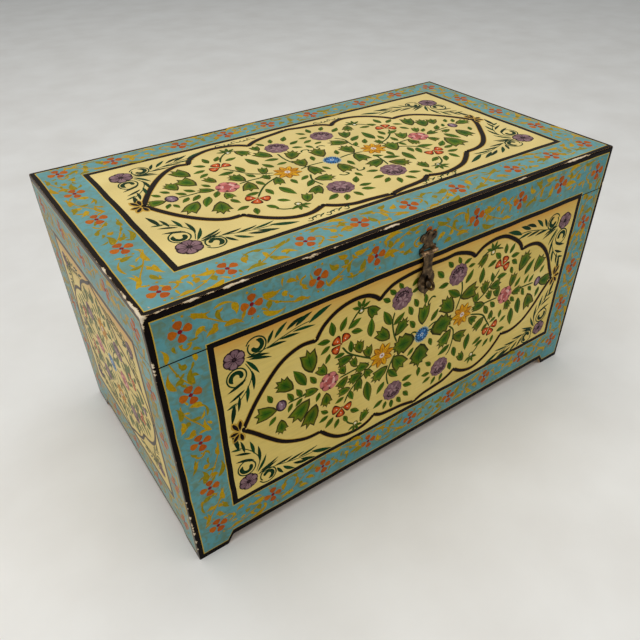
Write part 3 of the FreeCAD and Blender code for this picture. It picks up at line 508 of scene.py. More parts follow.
def lay(face, paint, plane, height, brush, tints, wrap=False):
    """Keep strokes for a face; those above the seam go to the lid, and the rest to the case.

    plane is (stroke, row, column, 2) in millimetres on the face, height the same without the
    last axis, and brush holds two numbers, along and across the stroke, for the material.
    """
    tints = np.broadcast_to(np.asarray(tints, float).reshape(-1, 3), (len(plane), 3))
    over = (plane[..., 1].mean(axis=(1, 2)) > SEAM) | (face == "top")
    for body, chosen in (("lid", over), ("case", ~over)):
        if not chosen.any():
            continue
        kept = plane[chosen].copy()
        if face != "top":
            limit = (SEAM + 0.4, np.inf) if body == "lid" else (-np.inf, SEAM - 0.4)
            kept[..., 1] = np.clip(kept[..., 1], *limit)
        PAINTING.setdefault((face, body), []).append(
            (paint, kept, height[chosen], brush[chosen], tints[chosen], wrap))


def petals(face, paint, rows, tints, belly=0.85, blunt=1.0, thick=0.14, swell=0.1, along=9):
    """Pointed strokes. Each row is x, up, angle, length, width, bend, about the stroke's middle.

    The middle line is a curve with one control point, pushed sideways by bend times the length.
    The half width is width / 2 times sin(pi s^belly)^blunt: a belly over 1 sits near the tip,
    and a blunt under 1 makes the ends round.
    """
    rows = np.atleast_2d(np.asarray(rows, float))
    if rows.shape[1] == 5:
        rows = np.column_stack([rows, np.zeros(len(rows))])
    x, up, angle, length, width, bend = rows.T
    s = np.linspace(0, 1, along)
    way = np.stack([np.cos(np.radians(angle)), np.sin(np.radians(angle))], -1)
    left = np.stack([-way[:, 1], way[:, 0]], -1)
    middle = np.stack([x, up], -1)
    root = middle - way * length[:, None] / 2
    tip = middle + way * length[:, None] / 2
    pull = middle + left * (bend * length)[:, None]
    s1 = s[None, :, None]
    line = (1 - s1) ** 2 * root[:, None] + 2 * s1 * (1 - s1) * pull[:, None] + s1 ** 2 * tip[:, None]
    slope = (1 - s1) * (pull - root)[:, None] + s1 * (tip - pull)[:, None]
    slope /= np.linalg.norm(slope, axis=-1, keepdims=True)
    normal = np.stack([-slope[..., 1], slope[..., 0]], -1)
    half = width[:, None] / 2 * np.clip(np.sin(np.pi * s ** belly), 0, 1)[None] ** blunt
    plane = line[:, :, None] + normal[:, :, None] * (half[..., None] * ACROSS)[..., None]
    height = np.broadcast_to(skin_height(ACROSS, thick, swell), plane.shape[:3])
    brush = np.stack(np.broadcast_arrays(s[None, :, None], (ACROSS / 2 + 0.5)[None, None]), -1)
    brush = np.broadcast_to(brush, plane.shape)
    lay(face, paint, plane, height, brush, tints)


RINGS = np.array([0.0, 0.6, 0.88, 1.0])


def blobs(face, paint, rows, tints, outline, thick=0.14, swell=0.1, rings=RINGS):
    """Strokes about a middle. Each row is x, up, angle, radius, stretch.

    The outline is a ring of corners, along and across the stroke, for a radius of 1. A point is
    the middle plus share * radius * corner, for shares from 0 to 1, turned by the angle; stretch
    lengthens the shape along its angle.
    """
    rows = np.atleast_2d(np.asarray(rows, float))
    x, up, angle, radius, stretch = rows.T
    long = rings[:, None] * outline[None, :, 0]
    wide = rings[:, None] * outline[None, :, 1]
    along = 0.5 + 0.5 * long
    long = long[None] * (radius * stretch)[:, None, None]
    wide = wide[None] * radius[:, None, None]
    cosine, sine = np.cos(np.radians(angle)), np.sin(np.radians(angle))
    plane = np.stack([x[:, None, None] + long * cosine[:, None, None] - wide * sine[:, None, None],
                      up[:, None, None] + long * sine[:, None, None] + wide * cosine[:, None, None]],
                     -1)
    shape = plane.shape[:3]
    height = np.broadcast_to(skin_height(rings, thick, swell)[:, None], shape)
    out = np.broadcast_to(0.5 + 0.5 * rings[:, None], along.shape)
    brush = np.broadcast_to(np.stack([along, out], -1), plane.shape)
    lay(face, paint, plane, height, brush, tints, wrap=True)


def smooth_path(corners, steps=6):
    """A smooth way through corners: between two of them, a cubic whose slope at each is half the
    difference of its two neighbours."""
    p = np.asarray(corners, float)
    padded = np.vstack([2 * p[0] - p[1], p, 2 * p[-1] - p[-2]])
    t = (np.arange(steps) / steps)[None, :, None]
    a, b, c, d = (padded[i:len(p) - 1 + i, None] for i in range(4))
    line = 0.5 * (2 * b + (c - a) * t + (2 * a - 5 * b + 4 * c - d) * t ** 2
                  + (3 * b - a - 3 * c + d) * t ** 3)
    return np.vstack([line.reshape(-1, 2), p[-1:]])


def ribbon(face, paint, corners, width, tint, thick=0.12, swell=0.05, taper=(1.0, 1.0), steps=6):
    """A line drawn through corners; taper gives the share of the width at its two ends."""
    line = smooth_path(corners, steps)
    slope = np.gradient(line, axis=0)
    slope /= np.linalg.norm(slope, axis=1, keepdims=True)
    normal = np.stack([-slope[:, 1], slope[:, 0]], -1)
    s = np.linspace(0, 1, len(line))
    end = np.minimum(1, np.interp(s, [0, 0.12, 0.88, 1], [taper[0], 1, 1, taper[1]]))
    plane = line[:, None] + normal[:, None] * (width / 2 * end[:, None] * ACROSS)[..., None]
    height = np.broadcast_to(skin_height(ACROSS, thick, swell), plane.shape[:2])
    brush = np.stack(np.broadcast_arrays(s[:, None], (ACROSS / 2 + 0.5)[None]), -1)
    lay(face, paint, plane[None], height[None], brush[None], tint)


def spiral(middle, radius, turns, start, shrink=0.25, count=14):
    """Corners on a spiral: the radius falls evenly to shrink times itself."""
    s = np.linspace(0, 1, count)
    reach = radius * (1 - (1 - shrink) * s)
    turn = np.radians(start) + 2 * np.pi * turns * s
    return np.stack([middle[0] + reach * np.cos(turn), middle[1] + reach * np.sin(turn)], -1)


# %% Outlines
def lobed(lobes, depth, count=48):
    """A ring of round lobes: its radius is 1 - depth * (1 - |cos(lobes * turn / 2)|)."""
    turn = 2 * np.pi * np.arange(count) / count
    radius = 1 - depth * (1 - np.abs(np.cos(lobes * turn / 2)))
    return np.stack([radius * np.cos(turn), radius * np.sin(turn)], -1)


def mirrored(left_half):
    """A leaf's outline from the corners of its left half, tip first and base last."""
    left_half = np.array(left_half)
    return np.vstack([left_half, left_half[-2:0:-1] * (1, -1)])


TULIP_LEAF = mirrored([(1.05, 0), (0.62, 0.18), (0.8, 0.6), (0.4, 0.58), (0, 0.6), (-0.4, 0.5),
                       (-0.75, 0.28), (-1, 0)])
IVY_LEAF = mirrored([(1.05, 0), (0.66, 0.2), (0.82, 0.5), (0.44, 0.42), (0.42, 0.8), (0.05, 0.64),
                     (-0.4, 0.52), (-0.78, 0.26), (-1, 0)])
FAN_LEAF = mirrored([(0.98, 0), (0.6, 0.22), (0.74, 0.72), (0.3, 0.68), (-0.15, 0.62),
                     (-0.6, 0.4), (-1, 0)])
MAPLE_LEAF = mirrored([(1.05, 0), (0.68, 0.16), (0.72, 0.42), (0.48, 0.4), (0.36, 0.86),
                       (0.08, 0.66), (-0.12, 0.88), (-0.42, 0.66), (-0.8, 0.4), (-1, 0)])
ROUND = lobed(1, 0, 16)
SMALL_ROUND = lobed(1, 0, 8)

# %% [markdown]
# ## The paints
# Every stroke is oil paint under varnish, and its shade changes from its heart to its rim and from
# its root to its tip. A leaf is deep green at the heart, olive further out, and edged with a dark
# outline. A petal has its own colour and a darker outline, and lines and dots are one colour.
# The brush leaves streaks in all of them. Each stroke carries its colour as an attribute, and a
# map of along and across for the shading.

# %% Paint materials
STROKE_GLOSS = 0.38
STREAK_SIZE = 3.0


def stroke_paint(name, across, root_shade, tip_shade):
    """Oil paint: the stroke's own colour times a ramp from heart to rim and a shade along it."""
    material, tree, shader = new_material(name)
    brush = add_node(tree, "ShaderNodeUVMap", uv_map="brush")
    parts = add_node(tree, "ShaderNodeSeparateXYZ", {0: brush.outputs[0]})
    doubled = add_node(tree, "ShaderNodeMath", {0: parts.outputs[1], 1: 2.0, 2: -1.0},
                       operation="MULTIPLY_ADD")
    out = add_node(tree, "ShaderNodeMath", {0: doubled.outputs[0]}, operation="ABSOLUTE")
    ramp = set_ramp(add_node(tree, "ShaderNodeValToRGB", {"Fac": out.outputs[0]}), across)
    tint = add_node(tree, "ShaderNodeAttribute", attribute_name="tint")
    tinted = add_node(tree, "ShaderNodeMix", {"Factor": 1.0, "A": ramp.outputs[0],
                                              "B": tint.outputs["Color"]},
                      data_type="RGBA", blend_type="MULTIPLY")
    along = add_node(tree, "ShaderNodeMapRange", {"Value": parts.outputs[0], 1: 0.0, 2: 1.0,
                                                  3: root_shade, 4: tip_shade})
    place = add_node(tree, "ShaderNodeTexCoord").outputs["Object"]
    drag = add_node(tree, "ShaderNodeTexNoise", {"Vector": place, "Scale": 1 / (STREAK_SIZE * MM),
                                                 "Detail": 2.0})
    streak = add_node(tree, "ShaderNodeMapRange", {"Value": drag.outputs["Fac"], 1: 0.3, 2: 0.7,
                                                   3: 0.84, 4: 1.14})
    shade = add_node(tree, "ShaderNodeMath", {0: along.outputs[0], 1: streak.outputs[0]},
                     operation="MULTIPLY")
    colour = add_node(tree, "ShaderNodeVectorMath", {0: tinted.outputs[2],
                                                     "Scale": shade.outputs[0]}, operation="SCALE")
    # The strokes on the lid and the ends take the same painted reflection and dust.
    dust = add_node(tree, "ShaderNodeAttribute", attribute_name="dust")
    dust_and_sheen_mix = add_node(tree, "ShaderNodeMix", {"Factor": dust.outputs["Fac"], "A": colour.outputs[0],
                                             "B": linear(DUST_AND_SHEEN_COLOUR)}, data_type="RGBA")
    tree.links.new(dust_and_sheen_mix.outputs[2], shader.inputs["Base Color"])
    shader.inputs["Roughness"].default_value = STROKE_GLOSS
    varnish(shader)
    return material


petal_paint = stroke_paint(
    "petal_oil_paint", [(0.0, "#FFFFFF"), (0.64, "#F2F2F2"), (0.76, "#808080")], 1.12, 1.12)
line_paint = stroke_paint("line_oil_paint", [(0.0, "#FFFFFF"), (1.0, "#F4F4F4")], 1.0, 1.0)
leaf_paint = stroke_paint(
    "leaf_oil_paint", [(0.0, "#245002"), (0.35, "#3C6206"), (0.68, "#667012"), (0.8, "#48480A"),
                       (0.9, "#20200A")], 0.82, 1.2)
PAINTS = {"leaf": leaf_paint, "petal": petal_paint, "line": line_paint}


def rgb(*hex_colours):
    """Paint colours as rows of linear red, green and blue."""
    return np.array([linear(colour)[:3] for colour in hex_colours])


chance = np.random.default_rng(7)

# %% [markdown]
# ## The flowers
# Each kind of flower is a small recipe of strokes, at a place and a size.


# %% Recipes
def scattered(low, high, count):
    """count random numbers between low and high."""
    return chance.uniform(low, high, count)


TOUCH_RINGS = np.array([0.0, 0.7, 1.0])


def dots(face, spots, radius, tint, thick=0.3):
    """Small round touches of paint."""
    spots = np.atleast_2d(np.asarray(spots, float))
    rows = np.column_stack([spots, np.zeros(len(spots)), np.full(len(spots), radius),
                            np.ones(len(spots))])
    blobs(face, "line", rows, tint, SMALL_ROUND, thick, 0.05, TOUCH_RINGS)


def around(x, up, count, reach, start=0.0, sweep=360.0):
    """Places and directions of count touches on a circle, or on part of it."""
    step = sweep / count if sweep == 360.0 else sweep / max(count - 1, 1)
    angle = start + step * np.arange(count)
    return (x + reach * np.cos(np.radians(angle)), up + reach * np.sin(np.radians(angle)), angle)


def fan(face, paint, x, up, count, length, width, tints, start=0.0, sweep=360.0, inset=0.0,
        **kind):
    """Petals that leave a point in all directions, or over part of the circle."""
    px, py, angle = around(x, up, count, inset + length / 2, start, sweep)
    rows = np.column_stack([px, py, angle, np.full(count, length), np.full(count, width)])
    petals(face, paint, rows, tints, **kind)


def purple_flower(face, x, up, size, facing):
    """A many-petalled purple flower, its dark dots in an arc on the facing side."""
    r = size / 2
    blobs(face, "petal", (x, up, facing, r, 0.98), rgb("#462F35"), lobed(11, 0.13),
          0.14)
    fan(face, "petal", x, up, 11, 0.6 * r, 0.6 * r, rgb("#805E62", "#735358")[np.arange(11) % 2],
        facing, inset=0.38 * r, thick=0.2, blunt=0.55, belly=1.4)
    way = np.radians(facing)
    heart = (x - 0.16 * r * math.cos(way), up - 0.16 * r * math.sin(way))
    blobs(face, "petal", (*heart, facing, 0.6 * r, 0.92), rgb("#79575C"),
          lobed(7, 0.14), 0.25)
    fan(face, "petal", *heart, 5, 0.5 * r, 0.3 * r, rgb("#977777"), facing + 36, inset=0.06 * r,
        thick=0.3, blunt=0.6, belly=1.3)
    px, py, angle = around(x, up, 8, 0.6 * r, facing - 66, 132)
    dots(face, np.column_stack([px, py]), 0.058 * size, rgb("#1E0E10"), 0.38)


def pink_flower(face, x, up, size, facing):
    """A rose: a scalloped pink round with curved petals laid over it."""
    r = size / 2
    blobs(face, "petal", (x, up, facing, r, 1.08), rgb("#A04C48"), lobed(6, 0.1),
          0.16)
    fan(face, "petal", x, up, 6, 0.6 * r, 0.92 * r, rgb("#C4736C", "#B96660")[np.arange(6) % 2],
        facing, inset=0.4 * r, thick=0.2, blunt=0.55, belly=1.5)
    turn = facing + np.array([70, 150, 215, 290, 0])
    rows = np.column_stack([x + 0.34 * r * np.cos(np.radians(turn)),
                            up + 0.34 * r * np.sin(np.radians(turn)), turn + 90,
                            np.full(5, 0.9 * r), np.full(5, 0.42 * r), np.full(5, -0.28)])
    petals(face, "petal", rows, rgb("#D28A80", "#B15850", "#CB8078", "#DAA296", "#B66058"),
           blunt=0.6, thick=0.26)
    spots = np.array([[x - 0.3 * r, up + 0.2 * r], [x + 0.42 * r, up + 0.35 * r], [x, up - 0.5 * r]])
    dots(face, spots, 0.04 * size, rgb("#EDD9D2"), 0.38)


def yellow_flower(face, x, up, size, facing):
    """An open yellow flower: nine long petals, orange between them, and a white heart."""
    r = size / 2
    turn = np.arange(9)
    fan(face, "line", x, up, 9, 1.08 * r, 0.52 * r, rgb("#7A4508"), facing, thick=0.12,
        blunt=0.85, belly=1.35)
    fan(face, "petal", x, up, 9, 0.72 * r, 0.32 * r, rgb("#A9640A"), facing + 20, thick=0.18,
        blunt=0.8, belly=1.3)
    fan(face, "petal", x, up, 9, 1.06 * r, 0.45 * r,
        rgb("#CC8E0C", "#C0800A", "#D49A12")[turn % 3], facing, thick=0.23, blunt=0.85, belly=1.3)
    fan(face, "line", x, up, 9, 0.5 * r, 0.06 * r, rgb("#743C04"), facing, inset=0.22 * r,
        thick=0.31)
    dots(face, (x, up), 0.12 * size, rgb("#B4683A"), 0.3)
    px, py, angle = around(x, up, 7, 0.15 * r, facing)
    dots(face, np.column_stack([px, py]), 0.05 * size, rgb("#DCD2C6"), 0.38)
    dots(face, (x, up), 0.035 * size, rgb("#7D4A4A"), 0.46)


def blue_flower(face, x, up, size, facing):
    """A round blue flower with a fringe of paler strokes and a white heart."""
    r = size / 2
    blobs(face, "petal", (x, up, facing, 0.94 * r, 1.0), rgb("#2E6294"), lobed(13, 0.1), 0.16)
    fan(face, "line", x, up, 20, 0.34 * r, 0.14 * r, rgb("#7FA6B8"), facing, inset=0.68 * r,
        thick=0.22, along=5)
    blues = rgb("#4E86B4", "#16406E", "#88AFCB")
    fan(face, "line", x, up, 9, 0.4 * r, 0.16 * r, blues[np.arange(9) % 3], facing,
        inset=0.28 * r, thick=0.26, along=5)
    px, py, angle = around(x, up, 5, 0.16 * r, facing)
    dots(face, np.column_stack([px, py]), 0.05 * size, rgb("#CDD9DC"), 0.34)
    dots(face, (x, up), 0.04 * size, rgb("#1E3F68"), 0.4)


def lilac_bud(face, x, up, size, facing):
    """A round lilac bud with a paler side."""
    blobs(face, "petal", (x, up, facing, 0.46 * size, 1.2), rgb("#624755"), ROUND, 0.16)
    petals(face, "petal", (x - 0.05 * size, up + 0.02 * size, facing, 0.9 * size, 0.46 * size),
           rgb("#8F727A"), thick=0.24, blunt=0.6)
    petals(face, "petal", (x + 0.18 * size, up, facing, 0.7 * size, 0.24 * size),
           rgb("#7A5E6A"), thick=0.28, blunt=0.6)
    dots(face, (x + 0.02 * size, up + 0.1 * size), 0.06 * size, rgb("#E2D6DE"), 0.36)


def trefoil(face, x, up, size, facing):
    """Three red-orange fan-shaped petals to one side of a point, each with a white touch."""
    r = size / 2
    turn = facing + np.array([-84, 0, 84])
    for spread, colour, inset, length, width, thick in (
            (turn, "#6E2404", 0.04, 0.98, 1.02, 0.13), (turn, "#BE4408", 0.1, 0.86, 0.86, 0.2),
            (turn, "#D06A30", 0.4, 0.46, 0.5, 0.26)):
        reach = (inset + length / 2) * r
        rows = np.column_stack([x + reach * np.cos(np.radians(spread)),
                                up + reach * np.sin(np.radians(spread)), spread,
                                np.full(3, length * r), np.full(3, width * r)])
        petals(face, "petal", rows, rgb(colour), blunt=0.55, belly=2.0, thick=thick)
    spots = np.column_stack([x + 0.52 * r * np.cos(np.radians(turn)),
                             up + 0.52 * r * np.sin(np.radians(turn))])
    dots(face, spots, 0.035 * size, rgb("#F4E6D6"), 0.38)
    dots(face, (x, up), 0.05 * size, rgb("#7A3A22"), 0.3)


def corner_flower(face, x, up, size, facing):
    """The purple flower of a corner: six round petals and a dark heart."""
    r = size / 2
    fan(face, "line", x, up, 6, 1.0 * r, 1.04 * r, rgb("#2E1C22"), facing, inset=0.03 * r,
        thick=0.12, blunt=0.5, belly=1.6)
    fan(face, "petal", x, up, 6, 0.9 * r, 0.86 * r, rgb("#85666A", "#76585E")[np.arange(6) % 2],
        facing, inset=0.07 * r, thick=0.2, blunt=0.5, belly=1.6)
    fan(face, "line", x, up, 12, 0.5 * r, 0.07 * r, rgb("#220F16"), facing, inset=0.14 * r,
        thick=0.3)
    px, py, angle = around(x, up, 6, 0.17 * r, facing)
    dots(face, np.column_stack([px, py]), 0.05 * size, rgb("#1A0B10"), 0.32)
    dots(face, (x, up), 0.07 * size, rgb("#3A2228"), 0.3)


def border_flower(face, x, up, size, facing):
    """Four orange petals about a dark red heart."""
    r = size / 2
    turn = facing + 90 * np.arange(4) + scattered(-6, 6, 4)
    rows = np.column_stack([x + 0.6 * r * np.cos(np.radians(turn)),
                            up + 0.6 * r * np.sin(np.radians(turn)), turn,
                            0.84 * r * scattered(0.94, 1.06, 4), 0.82 * r * scattered(0.88, 1.12, 4)])
    petals(face, "line", rows, rgb("#B2580C", "#A8500C", "#B6600E", "#AC4E0C"), blunt=0.5,
           belly=1.5, thick=0.2, along=7)
    dots(face, (x, up), 0.105 * size, rgb("#80101A"), 0.3)


def knot(face, x, up, size, facing):
    """Where tendrils meet: small leaves in a fan, a loop and a white pearl."""
    fan(face, "leaf", x, up, 4, 0.62 * size, 0.26 * size, rgb("#DDE8C4"), facing - 66, 132,
        inset=0.08 * size)
    way = math.radians(facing)
    loop = (x - 0.12 * size * math.cos(way), up - 0.12 * size * math.sin(way))
    ribbon(face, "line", spiral(loop, 0.2 * size, 1.1, facing, 0.85, 9), 0.09 * size,
           rgb("#2C4408"))
    dots(face, loop, 0.09 * size, rgb("#E9E4D2"))


FLOWERS = {"purple": purple_flower, "pink": pink_flower, "yellow": yellow_flower,
           "blue": blue_flower, "lilac": lilac_bud, "trefoil": trefoil,
           "corner": corner_flower, "knot": knot}

# %% [markdown]
# ## The corner sprays
# Each corner of a cream panel has a purple flower, two green volutes and two feathery sprays. The
# spray is given once, as distances from the flower along the long and the short side, and each
# corner turns it over.

# %% Corner sprays
SPRAY_LONG = [
    (43, -4, 50, -17, 4), (53, -7, 67, -20, 4.5), (69, -11, 88, -19, 4.5), (81, -11, 100, -20, 5),
    (100, -8, 126, -19, 6), (43, 4, 64, 5, 3.5), (60, -1, 82, 1, 3.5), (78, -4, 103, -1, 3.5),
    (17, 5, 41, 11, 3.5), (20, 9, 43, 17, 3.5), (15, 11, 27, 31, 4)]
SPRAY_SHORT = [
    (9, 35, -11, 43, 4), (19, 28, 19, 52, 4), (12, 47, 9, 67, 4), (6, 49, -11, 57, 3.5),
    (0, 57, -3, 75, 3.5), (-5, 63, -16, 67, 3), (-8, 66, -13, 90, 5)]
SPRAY_SPINES = [[(15, 2), (38, 3), (60, -3), (82, -8), (106, -10)],
                [(12, 10), (19, 30), (12, 48), (2, 60), (-8, 68)]]
VOLUTES = [((28, -6), 13.5, 200), ((1, 26), 14.0, 60)]
EMERALD = "#052E12"


def corner_spray(face, x, up, right, high, size, flower_size):
    """A corner's flower, volutes and sprays; right and high are +1 or -1, into the panel."""
    def put(points):
        return np.asarray(points, float) * (right * size, high * size) + (x, up)

    leaves = np.array(SPRAY_LONG + SPRAY_SHORT, float)
    root, tip = put(leaves[:, :2]), put(leaves[:, 2:4])
    way = tip - root
    rows = np.column_stack([(root + tip) / 2, np.degrees(np.arctan2(way[:, 1], way[:, 0])),
                            np.linalg.norm(way, axis=1) * 1.32, leaves[:, 4] * 1.3 * size,
                            scattered(0.04, 0.12, len(way)) * -right * high])
    tints = rgb(EMERALD, "#0A3C1A", "#04260E")[np.arange(len(rows)) % 3]
    petals(face, "line", rows, tints, belly=0.9, along=7)
    for spine in SPRAY_SPINES:
        ribbon(face, "line", put(spine), 1.5 * size, rgb("#0C3C1A"), 0.1, 0.02, (0.6, 0.3))
    for centre, radius, start in VOLUTES:
        curl = spiral((0, 0), radius * size, 1.05, start, 0.78)
        middle = put([centre])[0]
        hairline = np.column_stack([curl[:, 0] * right, curl[:, 1] * high]) + middle
        ribbon(face, "line", hairline, 2.2 * size, rgb("#0A3618"), 0.1, 0.02, (0.8, 1))
        crescent = spiral((0, 0), 0.64 * radius * size, 0.75, start + 70, 0.5, 9)
        crescent = np.column_stack([crescent[:, 0] * right, crescent[:, 1] * high]) + middle
        ribbon(face, "line", crescent, 6.0 * size, rgb(EMERALD), 0.14, 0.04, (0.1, 0.5))
    corner_flower(face, x, up, flower_size, 20)


# %% [markdown]
# ## The plan of the front panel
# The places below were read off the photograph, in millimetres from the middle of the
# front and from the floor, as a copyist squares up a painting. A leaf is its middle, the way its
# tip points in degrees, and its length.

# %% Front panel
FRONT = {
    "leaves": [
        (-144, 287, 98, 24), (-127, 287, 64, 22), (-110, 281, 25, 22), (-157, 272, 168, 20),
        (-155, 259, 210, 17), (-152, 244, 245, 16), (-134, 240, 180, 17), (-107, 267, 340, 20),
        (-84, 263, 90, 32), (-116, 247, 95, 21), (-193, 234, 118, 38), (-236, 223, 110, 17),
        (-208, 211, 115, 19), (-195, 211, 115, 19), (-174, 221, 120, 19), (-61, 295, 143, 17),
        (-51, 304, 137, 17), (-38, 308, 125, 15), (-13, 305, 40, 17), (-12, 291, 10, 14),
        (-10, 270, 118, 19), (-19, 261, 115, 20), (-58, 266, 117, 32), (-38, 257, 37, 24),
        (-14, 236, 123, 20), (30, 299, 133, 21), (47, 308, 132, 17), (64, 309, 120, 15),
        (80, 302, 15, 15), (89, 292, 0, 14), (38, 278, 180, 20), (7, 270, 100, 18),
        (87, 275, 58, 24), (113, 266, 88, 28), (61, 257, 143, 34), (27, 235, 55, 22),
        (131, 279, 200, 19), (141, 288, 135, 20), (157, 295, 100, 19), (170, 291, 62, 18),
        (180, 277, 357, 19), (181, 264, 320, 19), (178, 251, 295, 16), (138, 254, 108, 20),
        (158, 249, 357, 22), (220, 242, 55, 30), (198, 223, 58, 19), (219, 220, 65, 17),
        (231, 217, 55, 16), (254, 226, 60, 15), (134, 198, 120, 24), (148, 202, 130, 20),
        (216, 200, 300, 15), (-235, 185, 225, 16), (-209, 193, 243, 15), (-196, 195, 222, 15),
        (-168, 188, 250, 16), (-134, 163, 197, 16), (-158, 156, 140, 16), (-160, 143, 198, 17),
        (-151, 131, 225, 20), (-139, 122, 247, 18), (-124, 122, 293, 17), (-108, 130, 324, 20),
        (-115, 162, 289, 21), (-86, 153, 278, 42), (-64, 147, 234, 23), (-42, 164, 310, 29),
        (-13, 188, 225, 16), (-15, 141, 5, 20), (-13, 126, 333, 21), (-67, 117, 206, 20),
        (-55, 108, 256, 16), (-42, 104, 275, 18), (-27, 104, 300, 18), (-15, 109, 308, 19),
        (24, 188, 293, 18), (54, 159, 205, 26), (77, 144, 288, 24), (103, 151, 266, 33),
        (25, 146, 135, 18), (6, 141, 270, 19), (22, 127, 170, 18), (25, 114, 200, 17),
        (39, 106, 240, 16), (55, 105, 255, 16), (72, 118, 290, 20), (138, 163, 222, 17),
        (155, 170, 200, 15), (170, 175, 270, 17), (179, 161, 215, 16), (179, 141, 0, 19),
        (161, 130, 262, 16), (147, 129, 230, 17), (131, 135, 200, 18), (125, 143, 205, 20),
        (212, 173, 285, 37), (198, 158, 280, 38), (194, 193, 313, 18), (217, 196, 305, 16),
        (232, 197, 312, 16), (253, 183, 258, 20)],
    "vine_leaves": [
        (-178, 253, 100, 34), (-214, 233, 135, 28), (-160, 229, 125, 20), (-126, 229, 183, 23),
        (-103, 240, 105, 21), (-88, 225, 105, 20), (-111, 218, 110, 17), (-129, 214, 115, 16),
        (-83, 288, 310, 22), (-64, 241, 135, 28), (-33, 241, 50, 26), (-243, 203, 170, 29),
        (-178, 203, 170, 20), (-98, 203, 170, 22), (-28, 209, 180, 37), (6, 245, 88, 31),
        (51, 240, 130, 34), (92, 246, 8, 32), (111, 291, 225, 20), (124, 242, 100, 22),
        (147, 237, 0, 22), (108, 229, 110, 18), (136, 224, 110, 17), (153, 222, 110, 18),
        (185, 232, 80, 22), (204, 258, 65, 30), (242, 241, 60, 27), (116, 212, 170, 24),
        (200, 206, 0, 20), (266, 201, 350, 28), (45, 210, 5, 39), (-223, 168, 270, 22),
        (-194, 179, 225, 34), (-179, 160, 245, 34), (-155, 176, 270, 22), (-129, 192, 225, 20),
        (-127, 176, 180, 19), (-109, 190, 190, 22), (-88, 188, 300, 18), (-103, 175, 262, 21),
        (-67, 175, 210, 28), (-34, 180, 305, 32), (5, 172, 268, 37), (-92, 111, 60, 20),
        (107, 191, 320, 19), (123, 176, 225, 24), (53, 180, 235, 30), (83, 172, 335, 27),
        (148, 182, 270, 16), (183, 187, 290, 20), (235, 173, 290, 30), (94, 126, 120, 20)],
    "flowers": [
        ("purple", -35, 287, 36, 100), ("purple", 64, 286, 36, 110), ("purple", -41, 130, 36, 280),
        ("purple", 49, 129, 36, 290), ("pink", -150, 206, 30, 60), ("pink", 173, 209, 31, 120),
        ("yellow", -64.5, 207, 39, 90), ("yellow", 83, 211, 38, 100), ("blue", 6, 210, 28, 90),
        ("lilac", -221, 204, 18, 100), ("lilac", 248, 205, 17, 80), ("trefoil", -131, 258, 33, 133),
        ("trefoil", 154, 267, 33, 62), ("trefoil", -130, 148, 34, 257),
        ("trefoil", 151, 158, 34, 283), ("knot", -101, 299, 22, 90), ("knot", 129, 301, 22, 90),
        ("knot", -107, 101, 20, 270), ("knot", 118, 116, 22, 270)],
    "stems": [
        [(-46, 271), (-49, 255), (-45, 233), (-39, 217)],
        [(-130, 253), (-119, 237), (-95, 219), (-80, 209)],
        [(-136, 203), (-108, 205), (-84, 205)], [(-213, 203), (-190, 203), (-166, 203)],
        [(-121, 275), (-112, 289), (-103, 297), (-88, 296)],
        [(73, 273), (76, 257), (74, 243), (68, 224)], [(151, 264), (138, 245), (128, 233), (104, 218)],
        [(100, 211), (128, 212), (158, 211)], [(190, 209), (212, 208), (240, 206)],
        [(106, 297), (120, 303), (129, 304), (151, 298)], [(12, 257), (14, 264), (20, 268), (26, 265)],
        [(58, 202), (69, 189), (70, 171), (66, 153), (60, 145)],
        [(100, 204), (128, 191), (140, 175), (150, 160)],
        [(-70, 205), (-95, 189), (-117, 171), (-127, 152)], [(-127, 130), (-120, 113), (-110, 104)],
        [(-50, 145), (-54, 165), (-49, 183), (-41, 199)], [(-46, 208), (-24, 209), (0, 210)],
        [(12, 211), (36, 212), (66, 211)], [(131, 133), (126, 125), (119, 120)],
        [(17, 217), (28, 221), (42, 219)], [(-18, 218), (-10, 221), (-2, 216)]],
    "cartouche": [
        [(-274, 196), (-257, 225), (-239, 249), (-221, 268), (-205, 278), (-187, 283), (-168, 281)],
        [(-168, 281), (-157, 297), (-141, 309), (-125, 315), (-108, 317), (-93, 315), (-81, 309),
         (-72, 301)],
        [(-72, 301), (-63, 309), (-49, 316), (-25, 320), (4, 322)],
        [(4, 322), (36, 321), (54, 322), (70, 318), (84, 312), (93, 305)],
        [(93, 305), (106, 314), (120, 318), (136, 319), (152, 316), (170, 306), (184, 295),
         (193, 282)],
        [(193, 282), (212, 283), (230, 278), (248, 263), (262, 243), (272, 221), (284, 197)],
        [(-274, 194), (-261, 181), (-245, 163), (-225, 143), (-205, 131), (-185, 124), (-165, 123)],
        [(-165, 123), (-153, 109), (-139, 97), (-125, 91), (-113, 89), (-99, 89), (-85, 93),
         (-73, 101)],
        [(-73, 101), (-61, 94), (-41, 91), (-21, 89), (4, 83)],
        [(4, 83), (20, 89), (40, 92), (60, 95), (74, 101), (82, 107)],
        [(82, 107), (96, 97), (110, 91), (124, 89), (140, 93), (158, 103), (172, 117), (182, 130)],
        [(182, 130), (202, 127), (220, 131), (236, 140), (254, 159), (268, 179), (283, 197)]],
    "tips": [(-279, 194, -1), (289, 199, 1)],
    "corners": [(-274, 304, 1, -1), (-277, 101, 1, 1), (283, 300, -1, -1), (282, 98, -1, 1)],
}
for part, rows in FRONT.items():
    print("front %-12s %3d" % (part, len(rows)))

# %% [markdown]
# ## The plan of the top
# The lid's top has a painting of its own, read the same way from the middle of the lid.

